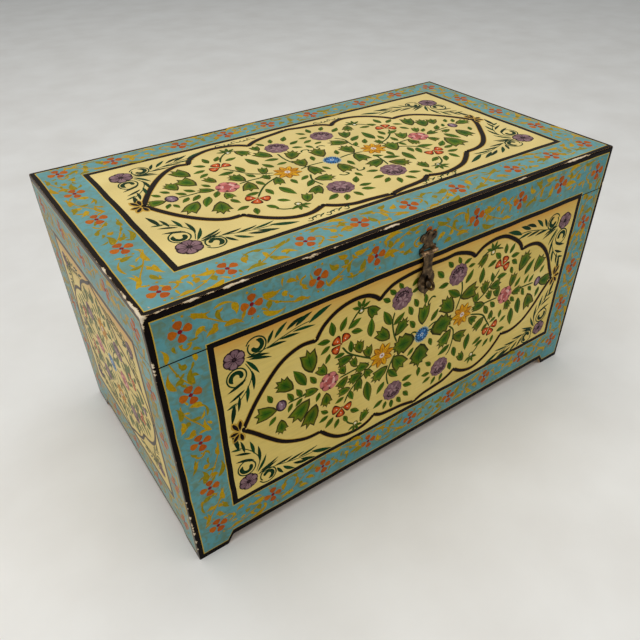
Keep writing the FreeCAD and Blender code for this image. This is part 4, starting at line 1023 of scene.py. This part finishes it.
# %% Top panel
TOP_PANEL = {
    "leaves": [
        (-150, 98, 92, 21), (-165, 86, 140, 19), (-134, 96, 50, 19), (-118, 84, 8, 19),
        (-173, 69, 188, 19), (-173, 54, 208, 18), (-146, 44, 180, 24), (-124, 46, 96, 25),
        (-99, 59, 100, 32), (-73, 48, 165, 22), (-87, 34, 115, 22), (-68, 29, 180, 17),
        (-249, 34, 125, 16), (-236, 37, 130, 16), (-221, 21, 130, 17), (-208, 24, 130, 18),
        (-185, 25, 120, 16), (-123, 19, 115, 18), (-39, 109, 65, 17), (-18, 106, 52, 21),
        (-59, 106, 115, 17), (-13, 85, 22, 20), (-19, 66, 330, 17), (-3, 58, 290, 16),
        (-24, 19, 250, 18), (-247, -2, 232, 15), (-239, -7, 285, 14), (-223, 2, 220, 17),
        (-210, 0, 220, 20), (-185, -6, 236, 20), (-203, -18, 237, 30), (-174, -36, 290, 18),
        (-148, -31, 180, 20), (-127, -38, 270, 21), (-123, -9, 285, 19), (-106, -48, 285, 33),
        (-85, -30, 270, 18), (-68, -28, 210, 18), (-71, -46, 220, 24), (-26, -19, 290, 16),
        (-176, -59, 190, 19), (-167, -75, 250, 19), (-145, -76, 300, 19), (-125, -69, 320, 18),
        (-70, -96, 205, 22), (-57, -107, 235, 19), (-39, -108, 285, 18), (-19, -103, 330, 20),
        (-15, -91, 350, 19), (-16, -72, 52, 21), (-3, -61, 280, 16), (14, 109, 130, 17),
        (30, 112, 80, 19), (52, 109, 50, 18), (7, 92, 175, 16), (5, 76, 200, 18),
        (15, 63, 190, 15), (66, 93, 35, 21), (71, 46, 30, 26), (94, 44, 90, 36), (117, 41, 88, 21),
        (133, 34, 10, 22), (159, 36, 295, 18), (162, 56, 320, 17), (159, 74, 30, 20),
        (144, 85, 90, 23), (127, 78, 130, 17), (111, 75, 170, 19), (58, 27, 50, 18),
        (76, 28, 55, 20), (104, 27, 90, 18), (17, 18, 65, 18), (117, 10, 90, 20), (177, 12, 40, 16),
        (201, 9, 42, 22), (216, 11, 55, 14), (234, 23, 55, 16), (243, 17, 55, 16),
        (12, -24, 270, 19), (57, -26, 330, 17), (77, -30, 270, 20), (70, -41, 335, 26),
        (93, -52, 268, 34), (109, -36, 260, 20), (118, -45, 250, 22), (136, -37, 345, 28),
        (162, -44, 38, 24), (163, -59, 5, 20), (157, -73, 355, 20), (146, -88, 280, 21),
        (129, -89, 230, 20), (114, -82, 205, 20), (63, -98, 335, 19), (79, -106, 280, 18),
        (47, -109, 300, 18), (29, -107, 248, 19), (16, -97, 215, 18), (13, -83, 180, 19),
        (18, -63, 160, 18), (197, -31, 290, 31), (115, -12, 280, 17), (240, -24, 60, 16)],
    "vine_leaves": [
        (-196, 78, 115, 30), (-222, 47, 100, 24), (-201, 48, 115, 30), (-173, 37, 110, 20),
        (-94, 94, 300, 24), (-71, 97, 90, 18), (-74, 71, 120, 28), (-40, 47, 55, 28),
        (-256, 15, 170, 22), (-191, 12, 150, 20), (-141, 22, 110, 26), (-140, -10, 250, 26),
        (-101, 23, 70, 20), (-108, 3, 90, 16), (-45, 16, 80, 26), (-43, -16, 270, 28),
        (-5, 32, 80, 30), (-5, -32, 270, 28), (-225, -22, 225, 30), (-196, -42, 250, 30),
        (-174, -18, 270, 18), (-101, -17, 250, 22), (-46, -44, 345, 26), (-75, -68, 225, 24),
        (-97, -79, 60, 22), (86, 86, 240, 22), (67, 67, 60, 24), (40, 46, 150, 28),
        (36, 18, 90, 28), (34, -16, 270, 28), (91, 14, 90, 16), (96, -10, 75, 30),
        (135, 14, 60, 24), (182, 54, 70, 30), (197, 37, 65, 28), (214, 33, 60, 22),
        (168, 20, 60, 18), (251, 3, 0, 24), (180, -3, 10, 18), (39, -44, 200, 28),
        (68, -62, 320, 28), (183, -50, 275, 36), (220, -33, 275, 30), (133, -16, 280, 20),
        (165, -24, 290, 18), (203, -10, 190, 16), (88, -87, 90, 20)],
    "flowers": [
        ("purple", -45, 81, 38, 60), ("purple", 35, 83, 38, 60), ("purple", -46, -79, 39, 240),
        ("purple", 43, -77, 39, 250), ("pink", -164, 5, 32, 90), ("pink", 153, -3, 32, 90),
        ("yellow", -77, 0, 38, 90), ("yellow", 68, -2, 37, 100), ("blue", -5, -1.6, 28, 90),
        ("lilac", -236, 15, 19, 100), ("lilac", 228, 1, 18, 80), ("trefoil", -143, 66, 33, 101),
        ("trefoil", 135, 52, 34, 57), ("trefoil", -148, -45, 33, 236),
        ("trefoil", 133, -58, 33, 280), ("knot", -111, 109, 22, 90), ("knot", 105, 96, 22, 90),
        ("knot", -116, -90, 22, 270), ("knot", 105, -101, 22, 270)],
    "stems": [
        [(-143, 60), (-133, 46), (-124, 30), (-111, 17), (-92, 8)], [(-55, 63), (-57, 42), (-54, 20)],
        [(-94, -4), (-119, -16), (-135, -30), (-147, -44)], [(-55, -22), (-63, -40), (-60, -62)],
        [(-145, -82), (-135, -91), (-119, -95), (-105, -90)], [(-58, -2), (-39, 1), (-17, 0)],
        [(-228, 14), (-212, 12), (-182, 12)], [(-148, 5), (-129, 6), (-95, 3)],
        [(136, 46), (125, 30), (107, 16), (83, 6)], [(45, 65), (54, 50), (52, 30), (56, 14)],
        [(55, -18), (53, -40), (49, -60)], [(8, -1), (28, 1), (50, -2)], [(86, -4), (109, -5), (139, -4)],
        [(168, -4), (190, -1), (220, 0)], [(134, -52), (125, -34), (108, -20), (84, -9)],
        [(-136, 81), (-126, 97), (-113, 107), (-98, 108)], [(127, 70), (118, 84), (107, 94), (92, 98)],
        [(126, -76), (118, -92), (106, -99), (92, -98)], [(-25, 46), (-20, 52), (-12, 50), (-14, 43)],
        [(-25, -46), (-20, -52), (-12, -51), (-14, -44)], [(17, 46), (12, 52), (4, 50), (6, 43)],
        [(17, -46), (12, -52), (4, -51), (6, -44)]],
    "cartouche": [
        [(-271, 17), (-255, 44), (-239, 66), (-225, 82), (-209, 96), (-191, 105), (-174, 102)],
        [(-174, 102), (-165, 116), (-149, 126), (-129, 132), (-109, 131), (-89, 125), (-74, 113)],
        [(-74, 113), (-59, 122), (-41, 128), (-19, 132), (6, 137)],
        [(6, 137), (25, 132), (47, 128), (63, 122), (73, 112)],
        [(73, 112), (85, 121), (103, 126), (123, 123), (143, 113), (161, 96), (172, 80)],
        [(172, 80), (189, 81), (207, 76), (227, 62), (247, 40), (261, 20), (270, 4)],
        [(-271, 17), (-261, -6), (-245, -34), (-225, -58), (-205, -72), (-184, -74)],
        [(-184, -74), (-169, -93), (-149, -109), (-131, -116), (-113, -116), (-93, -108)],
        [(-93, -108), (-79, -119), (-59, -127), (-35, -129), (-4, -133)],
        [(-4, -133), (15, -129), (39, -127), (57, -124), (68, -117)],
        [(68, -117), (89, -124), (111, -123), (135, -116), (155, -102), (169, -89)],
        [(169, -89), (191, -88), (211, -80), (231, -62), (251, -36), (265, -16), (274, 2)]],
    "tips": [(-274, 16, -1), (276, 2, 1)],
    "corners": [(-265, 112, 1, -1), (-268, -106, 1, 1), (270, 105, -1, -1), (276, -100, -1, 1)],
}
for part, rows in TOP_PANEL.items():
    print("top   %-12s %3d" % (part, len(rows)))

# %% [markdown]
# ## The plan of the ends
# The left end shows only at a slant, but enough to see that its cartouche has four points and
# eight lobes and is alike above and below, left and right. So one quarter of it is given, from
# the middle of the panel to the right and up, and turned over into the other three. The flowers
# of the ends are too foreshortened to tell apart, so they are the front's kinds, evenly spread.

# %% End panel
QUARTERS = [(1, 1), (-1, 1), (-1, -1), (1, -1)]
QUARTER_LEAVES = [
    (20, 19, 45, 16), (13, 33, 110, 15), (24, 42, 330, 15), (25, 60, 5, 15), (19, 76, 50, 16),
    (6, 84, 80, 17), (33, 66, 130, 16), (47, 77, 95, 15), (62, 74, 60, 15), (73, 63, 25, 16),
    (58, 33, 290, 15), (40, 33, 250, 16), (68, 12, 20, 15), (103, 44, 50, 16), (108, 29, 0, 16),
    (99, 13, 320, 15), (77, 17, 220, 15), (121, 10, 15, 13), (11, 104, 75, 16), (29, 92, 50, 15),
    (90, 54, 70, 14), (86, 4, 180, 14)]
QUARTER_VINE_LEAVES = [
    (33, 22, 40, 20), (36, 47, 160, 20), (74, 42, 340, 22), (84, 46, 100, 18), (42, 89, 70, 19),
    (17, 93, 120, 18), (70, 28, 300, 18), (112, 20, 70, 17), (97, 4, 350, 18)]
QUARTER_STEMS = [
    [(10, 9), (22, 30), (40, 45)], [(64, 47), (74, 38), (84, 32)], [(4, 72), (8, 88), (5, 104)],
    [(52, 66), (56, 76), (50, 88)]]
QUARTER_CARTOUCHE = [
    [(0, 126), (16, 117), (36, 109), (56, 96), (70, 77)],
    [(70, 77), (89, 71), (107, 61), (121, 46), (130, 29), (135, 14), (137, 0)]]
MIDDLE_UP = PANEL_LONG[2]


def turned_over(rows, right, high):
    """Strokes of the upper right quarter in another one; right and high are +1 or -1."""
    rows = np.array(rows, float)
    angle = np.radians(rows[:, 2])
    turned = np.degrees(np.arctan2(np.sin(angle) * high, np.cos(angle) * right))
    return np.column_stack([rows[:, 0] * right, MIDDLE_UP + rows[:, 1] * high, turned, rows[:, 3]])


def lines_four_ways(lines):
    """Lines of the upper right quarter in all four."""
    return [[(x * right, MIDDLE_UP + up * high) for x, up in line]
            for line in lines for right, high in QUARTERS]


END_PANEL = {
    "leaves": np.vstack([turned_over(QUARTER_LEAVES, *way) for way in QUARTERS]),
    "vine_leaves": np.vstack([turned_over(QUARTER_VINE_LEAVES, *way) for way in QUARTERS]),
    "flowers": [
        ("blue", 0, 205, 28, 90), ("pink", 46, 206, 29, 60), ("pink", -46, 206, 29, 120),
        ("yellow", 0, 261, 34, 90), ("yellow", 0, 148, 34, 90), ("purple", 52, 258, 29, 60),
        ("purple", -52, 258, 29, 120), ("purple", 52, 151, 29, 300), ("purple", -52, 151, 29, 240),
        ("trefoil", 86, 234, 26, 30), ("trefoil", -86, 234, 26, 150),
        ("trefoil", 86, 175, 26, 330), ("trefoil", -86, 175, 26, 210),
        ("lilac", 112, 205, 15, 80), ("lilac", -112, 205, 15, 100)],
    "stems": lines_four_ways(QUARTER_STEMS) + [
        [(0, 219), (0, 244)], [(0, 191), (0, 165)], [(14, 205), (32, 206)], [(-14, 205), (-32, 206)],
        [(61, 205), (84, 206), (104, 205)], [(-61, 205), (-84, 206), (-104, 205)]],
    "cartouche": lines_four_ways(QUARTER_CARTOUCHE),
    "tips": [],
    "corners": [(118 * right, MIDDLE_UP + 101 * high, -right, -high) for right, high in QUARTERS],
}
for part, rows in END_PANEL.items():
    print("end   %-12s %3d" % (part, len(rows)))

# %% [markdown]
# ## Paint the panels
# The back can't be seen in the photograph, so it follows the front's plan, and the right end
# follows the left. Every copy is drawn a little differently, as a hand would. The cartouche is a brown ribbon with a gold edge:
# the gold goes down first, a little wider, and the brown over it.

# %% Panel painting
RIBBON_BROWN = "#120705"
GOLD = "#C2983A"
STEM_GREEN = "#2C4408"


def copied(plan, right, tremble):
    """A plan drawn again: turned over left to right when right is -1.

    tremble is how far, in millimetres, the hand strays.
    """
    def place(points):
        points = np.asarray(points, float) * (right, 1)
        return points + chance.normal(0, tremble, points.shape)

    def strokes(rows):
        rows = np.array(rows, float)
        angle = np.radians(rows[:, 2])
        turned = np.degrees(np.arctan2(np.sin(angle), np.cos(angle) * right))
        turned += chance.normal(0, 3 * tremble, len(rows))
        return np.column_stack([place(rows[:, :2]), turned, rows[:, 3]])

    return {
        "leaves": strokes(plan["leaves"]),
        "vine_leaves": strokes(plan["vine_leaves"]),
        "flowers": [(kind, *place((x, up)), across, angle)
                    for kind, x, up, across, angle in plan["flowers"]],
        "stems": [place(points) for points in plan["stems"]],
        "cartouche": [np.array(points) * (right, 1) for points in plan["cartouche"]],
        "tips": [(*place((x, up)), side * right) for x, up, side in plan["tips"]],
        "corners": [(*place((x, up)), inward * right, high)
                    for x, up, inward, high in plan["corners"]],
    }


def paint_panel(face, plan, size=1.0, corner_size=1.0, corner_flower_size=28.0, line=7.0):
    """Every stroke inside a cream panel, from the undermost to the uppermost."""
    for points in plan["cartouche"]:
        ribbon(face, "line", points, (line + 1.4) * size, rgb(GOLD), 0.1, 0.0)
        ribbon(face, "line", points, line * size, rgb(RIBBON_BROWN), 0.18, 0.04)
        dots(face, np.array([points[0], points[-1]]), 0.42 * line * size, rgb(RIBBON_BROWN), 0.2)
    for x, up, side in plan["tips"]:
        turn = np.array([84, 116, 232, 280, 180] if side < 0 else [96, 64, 308, 260, 0])
        reach = np.array([21, 22, 18, 18, 15]) * size
        way = np.radians(turn)
        rows = np.column_stack([x + 0.5 * reach * np.cos(way), up + 0.5 * reach * np.sin(way), turn,
                                reach, np.full(5, 10.5 * size)])
        petals(face, "line", rows, rgb(GOLD), belly=1.2, thick=0.18)
        rows[:, 3:5] *= (0.86, 0.62)
        petals(face, "line", rows, rgb(RIBBON_BROWN), belly=1.2, thick=0.26)
    for points in plan["stems"]:
        ribbon(face, "line", points, 3.0 * size, rgb(STEM_GREEN), 0.12, 0.03, (0.9, 0.6))
    leaves = np.array(plan["leaves"], float)
    count = len(leaves)
    width = leaves[:, 3] * np.interp(leaves[:, 3], [14, 24, 38], [0.5, 0.46, 0.38])
    rows = np.column_stack([leaves, width, scattered(-0.09, 0.09, count)])
    greens = rgb("#FFFFFF", "#F4F0D0", "#DDE6BE", "#FFF0C4")[chance.integers(0, 4, count)]
    petals(face, "leaf", rows, greens)
    vines = np.array(plan["vine_leaves"], float)
    count = len(vines)
    rows = np.column_stack([vines[:, :3], vines[:, 3] * 0.6, np.full(count, 1.05)])
    greens = rgb("#FFFFFF", "#EFEFC8", "#DDE6BE", "#FCECC0")[chance.integers(0, 4, count)]
    kinds = np.where(vines[:, 3] > 36 * size, 3, np.arange(count) % 3)
    for kind, outline in enumerate((TULIP_LEAF, IVY_LEAF, FAN_LEAF, MAPLE_LEAF)):
        blobs(face, "leaf", rows[kinds == kind], greens[kinds == kind], outline)
    for x, up, angle, length in vines:
        way = np.array([math.cos(math.radians(angle)), math.sin(math.radians(angle))])
        middle = np.array([x, up])
        vein = [middle - 0.5 * length * way, middle, middle + 0.42 * length * way]
        ribbon(face, "line", vein, 0.9 * size, rgb("#1E3606"), 0.27, 0.02, (0.8, 0.3), 2)
    for kind, x, up, across, angle in plan["flowers"]:
        FLOWERS[kind](face, x, up, across, angle)
    for x, up, right, high in plan["corners"]:
        corner_spray(face, x, up, right, high, corner_size, corner_flower_size)


paint_panel("front", FRONT)
paint_panel("top", TOP_PANEL, corner_flower_size=32.0, line=8.8)
paint_panel("back", copied(FRONT, -1, 0.8))
paint_panel("left_end", END_PANEL, 0.85, 0.62, 22.0)
paint_panel("right_end", copied(END_PANEL, 1, 0.8), 0.85, 0.62, 22.0)

# %% Green scrolls beyond the cartouche of the top
for left, right, up, high in ((-126, -62, -129, 1), (50, 108, -131, 1), (-112, -58, 136, -1),
                              (58, 104, 133, -1)):
    for index, x in enumerate(np.arange(left, right, 13.0)):
        curl = spiral((x, up), 5.0, -0.8 if index % 2 else 0.8, 200 if high > 0 else 20, 0.3, 8)
        ribbon("top", "line", curl, 1.8, rgb(EMERALD), 0.12, 0.03, (0.4, 1.0))
        petals("top", "line", (x + 6, up + 2 * high, 25 * high, 9, 2.8), rgb("#0A3C1A"), along=7)

# %% [markdown]
# ## The borders
# An orange flower stands every 80 mm or so along the turquoise, and feathery yellow scrolls fill
# the gaps, of two kinds by turns. A scroll is given from one flower toward the next, and every
# second gap is turned over.

# %% Borders
SCROLL_YELLOW = "#AC8608"
SCROLL_A = [
    (13.5, 16, 35, 11.5, 4.2), (39, 11.5, 61, 9, 2.4), (42, 7, 46, -6, 4.2), (58, 10, 62, -4, 6),
    (27, -5, 15, -14, 5), (39, -5, 33, -10, 5), (39, -16, 26, -20, 5), (48, -16, 68, -19, 5)]
SCROLL_B = [
    (13, 7, 34, 7, 6), (19, -4, 18, -14, 6), (39, 2, 42, -6, 6), (41, 11, 53, 6, 4.2),
    (13, -14, 37, -19, 5), (48, -20, 66, -22, 4.2), (31, -9, 34, -11, 3.2)]
SPINE_A = [(12, 12), (28, 5), (44, -6), (58, -13), (70, -14)]
SPINE_B = [(10, 5), (24, -6), (40, -14), (56, -19), (70, -19)]
CURL_B = [(65, 10), (59, 7), (58, 1), (66, -4)]


def border_gap(face, start, end, kind, flip, size=1.0):
    """The scroll between two border flowers, stretched to their distance."""
    start, end = np.array(start, float), np.array(end, float)
    along = (end - start) / 80
    way = along / np.linalg.norm(along)
    across = np.array([-way[1], way[0]]) * flip * size

    def put(points):
        points = np.asarray(points, float)
        return start + points[:, :1] * along + points[:, 1:2] * across

    commas = np.array(SCROLL_A if kind == 0 else SCROLL_B, float)
    commas[:, :4] += chance.normal(0, 0.7, (len(commas), 4))
    tail, head = put(commas[:, 2:4]), put(commas[:, :2])
    way = head - tail
    rows = np.column_stack([(tail + head) / 2, np.degrees(np.arctan2(way[:, 1], way[:, 0])),
                            np.linalg.norm(way, axis=1) * 1.12, commas[:, 4] * 1.5 * size,
                            0.36 * flip * np.where(np.arange(len(commas)) % 2, -1, 1)])
    yellows = rgb(SCROLL_YELLOW, "#B8920E", "#8E7C0C")[chance.integers(0, 3, len(rows))]
    petals(face, "line", rows, yellows, belly=1.6, blunt=0.75, thick=0.12, along=9)
    along_gap = np.arange(13.0, 70.0, 8.0)
    side = np.where(np.arange(len(along_gap)) % 2, 1, -1) * (1 if kind else -1)
    touch = put(np.column_stack([along_gap + scattered(-3, 3, len(side)),
                                 side * scattered(4, 15, len(side))]))
    rows = np.column_stack([touch, scattered(0, 360, len(side)), scattered(9, 15, len(side)) * size,
                            scattered(3.2, 5.0, len(side)) * size, scattered(-0.45, 0.45, len(side))])
    petals(face, "line", rows, yellows[:1], belly=1.6, blunt=0.8, thick=0.11, along=7)
    ribbon(face, "line", put(SPINE_A if kind == 0 else SPINE_B), 2.0 * size, rgb(SCROLL_YELLOW),
           0.1, 0.03, (0.4, 0.9))
    if kind == 1:
        ribbon(face, "line", put(CURL_B), 3.0 * size, rgb(SCROLL_YELLOW), 0.12, 0.04, (1.0, 0.3))


def border(face, loop, size=1.0, closed=True):
    """Flowers at the places of a loop, and scrolls of both kinds in turn between them."""
    for x, up in loop:
        border_flower(face, x, up, 27 * size, 4 + chance.uniform(-9, 9))
        marks = np.array([(-4, 16), (5, 17), (-1, -17), (6, -18)]) * size
        dots(face, marks + (x, up), 1.7 * size, rgb(SCROLL_YELLOW))
    ends = list(zip(loop, loop[1:] + loop[:1] if closed else loop[1:]))
    for index, (start, end) in enumerate(ends):
        border_gap(face, start, end, index % 2, 1 if index % 4 < 2 else -1, size)


FRONT_BORDER = [
    (-326, 366), (-246, 366), (-162, 366), (-81, 366), (1, 366), (84, 366), (167, 366),
    (251, 366), (334, 365), (334, 282), (333, 203), (331, 128), (330, 50), (246, 50), (161, 50),
    (80, 50), (-1, 50), (-82, 50), (-163, 50), (-245, 50), (-327, 49), (-328, 126), (-328, 207),
    (-328, 282)]
TOP_BORDER = [
    (-329, 173), (-254, 174), (-156, 174), (-80, 174), (-6, 174), (75, 173), (174, 173),
    (254, 173), (332, 171), (332, 88), (333, 8), (333, -76), (331, -168), (256, -169),
    (175, -169), (72, -169), (-9, -169), (-84, -169), (-159, -169), (-255, -169), (-329, -168),
    (-329, -66), (-329, 16), (-329, 100)]
END_BORDER = [
    (-168, 365), (-82, 365), (0, 366), (82, 365), (168, 365), (169, 282), (169, 205), (169, 126),
    (168, 49), (82, 50), (0, 50), (-82, 50), (-168, 49), (-169, 126), (-169, 205), (-169, 282)]
border("front", FRONT_BORDER)
border("back", [(-x, up) for x, up in FRONT_BORDER])
border("top", TOP_BORDER)
border("left_end", END_BORDER)
border("right_end", END_BORDER)

# %% [markdown]
# ## From strokes to pieces
# The strokes of one face and one body become one object. A row of a stroke whose points all
# coincide, at a tip or in the middle of a round, becomes a single point, so the skin is closed
# there. Each face of the mesh carries its paint, its colour and its place in the stroke.


# %% Build the painted skins
def skin_arrays(face, batch, first):
    """Points, corner indices, corner counts, map, colours and paint of one batch of strokes."""
    paint, plane, height, brush, tints, wrap = batch
    origin, right, high, out = FACES[face]
    count, rows, columns = plane.shape[:3]
    points = (origin + plane[..., :1] * right + plane[..., 1:] * high + height[..., None] * out) * MM
    ids = first + np.arange(count * rows * columns).reshape(count, rows, columns)
    ids[:, 0] = ids[:, 0, :1]
    brush = brush.copy()
    if not wrap:
        ids[:, -1] = ids[:, -1, :1]
    ahead = np.roll(ids, -1, axis=2) if wrap else ids[:, :, 1:]
    brush_ahead = np.roll(brush, -1, axis=2) if wrap else brush[:, :, 1:]
    behind = ids if wrap else ids[:, :, :-1]
    brush_behind = brush if wrap else brush[:, :, :-1]
    between = (brush_ahead + brush_behind) / 2
    colour = np.broadcast_to(tints[:, None, None], (count, rows, columns, 3))
    last = rows - 1 if wrap else rows - 2
    quads = np.stack([behind[:, 1:last], behind[:, 2:last + 1], ahead[:, 2:last + 1],
                      ahead[:, 1:last]], -1).reshape(-1)
    quad_map = np.stack([brush_behind[:, 1:last], brush_behind[:, 2:last + 1],
                         brush_ahead[:, 2:last + 1], brush_ahead[:, 1:last]], -2).reshape(-1, 2)
    corners = [quads, np.stack([behind[:, 0], behind[:, 1], ahead[:, 1]], -1).reshape(-1)]
    maps = [quad_map, np.stack([between[:, 0], brush_behind[:, 1], brush_ahead[:, 1]],
                               -2).reshape(-1, 2)]
    if not wrap:
        corners.append(np.stack([behind[:, -2], behind[:, -1], ahead[:, -2]], -1).reshape(-1))
        maps.append(np.stack([brush_behind[:, -2], between[:, -1], brush_ahead[:, -2]],
                             -2).reshape(-1, 2))
    sizes = [np.full(len(quads) // 4, 4)] + [np.full(len(part) // 3, 3) for part in corners[1:]]
    return (points.reshape(-1, 3), np.concatenate(corners), np.concatenate(sizes),
            np.concatenate(maps), colour.reshape(-1, 3), paint)


def build_skin(face, body, batches):
    """One object from all the strokes of a face on a body."""
    made, first = [], 0
    for batch in batches:
        made.append(skin_arrays(face, batch, first))
        first += len(made[-1][0])
    points = np.concatenate([part[0] for part in made])
    corners = np.concatenate([part[1] for part in made])
    sizes = np.concatenate([part[2] for part in made])
    brush = np.concatenate([part[3] for part in made])
    colours = np.concatenate([part[4] for part in made])
    paints = np.concatenate([np.full(len(part[2]), list(PAINTS).index(part[5])) for part in made])
    used, corners = np.unique(corners, return_inverse=True)
    mesh = bpy.data.meshes.new("%s_%s_painting" % (face, body))
    mesh.vertices.add(len(used))
    mesh.vertices.foreach_set("co", points[used].ravel())
    mesh.loops.add(len(corners))
    mesh.loops.foreach_set("vertex_index", corners.ravel().astype(np.int32))
    mesh.polygons.add(len(sizes))
    mesh.polygons.foreach_set("loop_start", (np.cumsum(sizes) - sizes).astype(np.int32))
    mesh.polygons.foreach_set("material_index", paints.astype(np.int32))
    mesh.update(calc_edges=True)
    mesh.uv_layers.new(name="brush").data.foreach_set("uv", brush.ravel())
    tint = mesh.attributes.new("tint", "FLOAT_COLOR", "POINT")
    tint.data.foreach_set("color", np.column_stack([colours[used], np.ones(len(used))]).ravel())
    # how much painted reflection and dust lies on this face
    dust = mesh.attributes.new("dust", "FLOAT", "FACE")
    dust.data.foreach_set("value", np.full(len(sizes), DUST_AND_SHEEN[face], np.float32))
    for material in PAINTS.values():
        mesh.materials.append(material)
    mesh.shade_smooth()
    mesh.validate()
    skin = bpy.data.objects.new(mesh.name, mesh)
    bpy.context.scene.collection.objects.link(skin)
    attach(skin, body)
    print("%-26s %6d triangles" % (mesh.name, (sizes - 2).sum()))


for (face, body), batches in PAINTING.items():
    build_skin(face, body, batches)
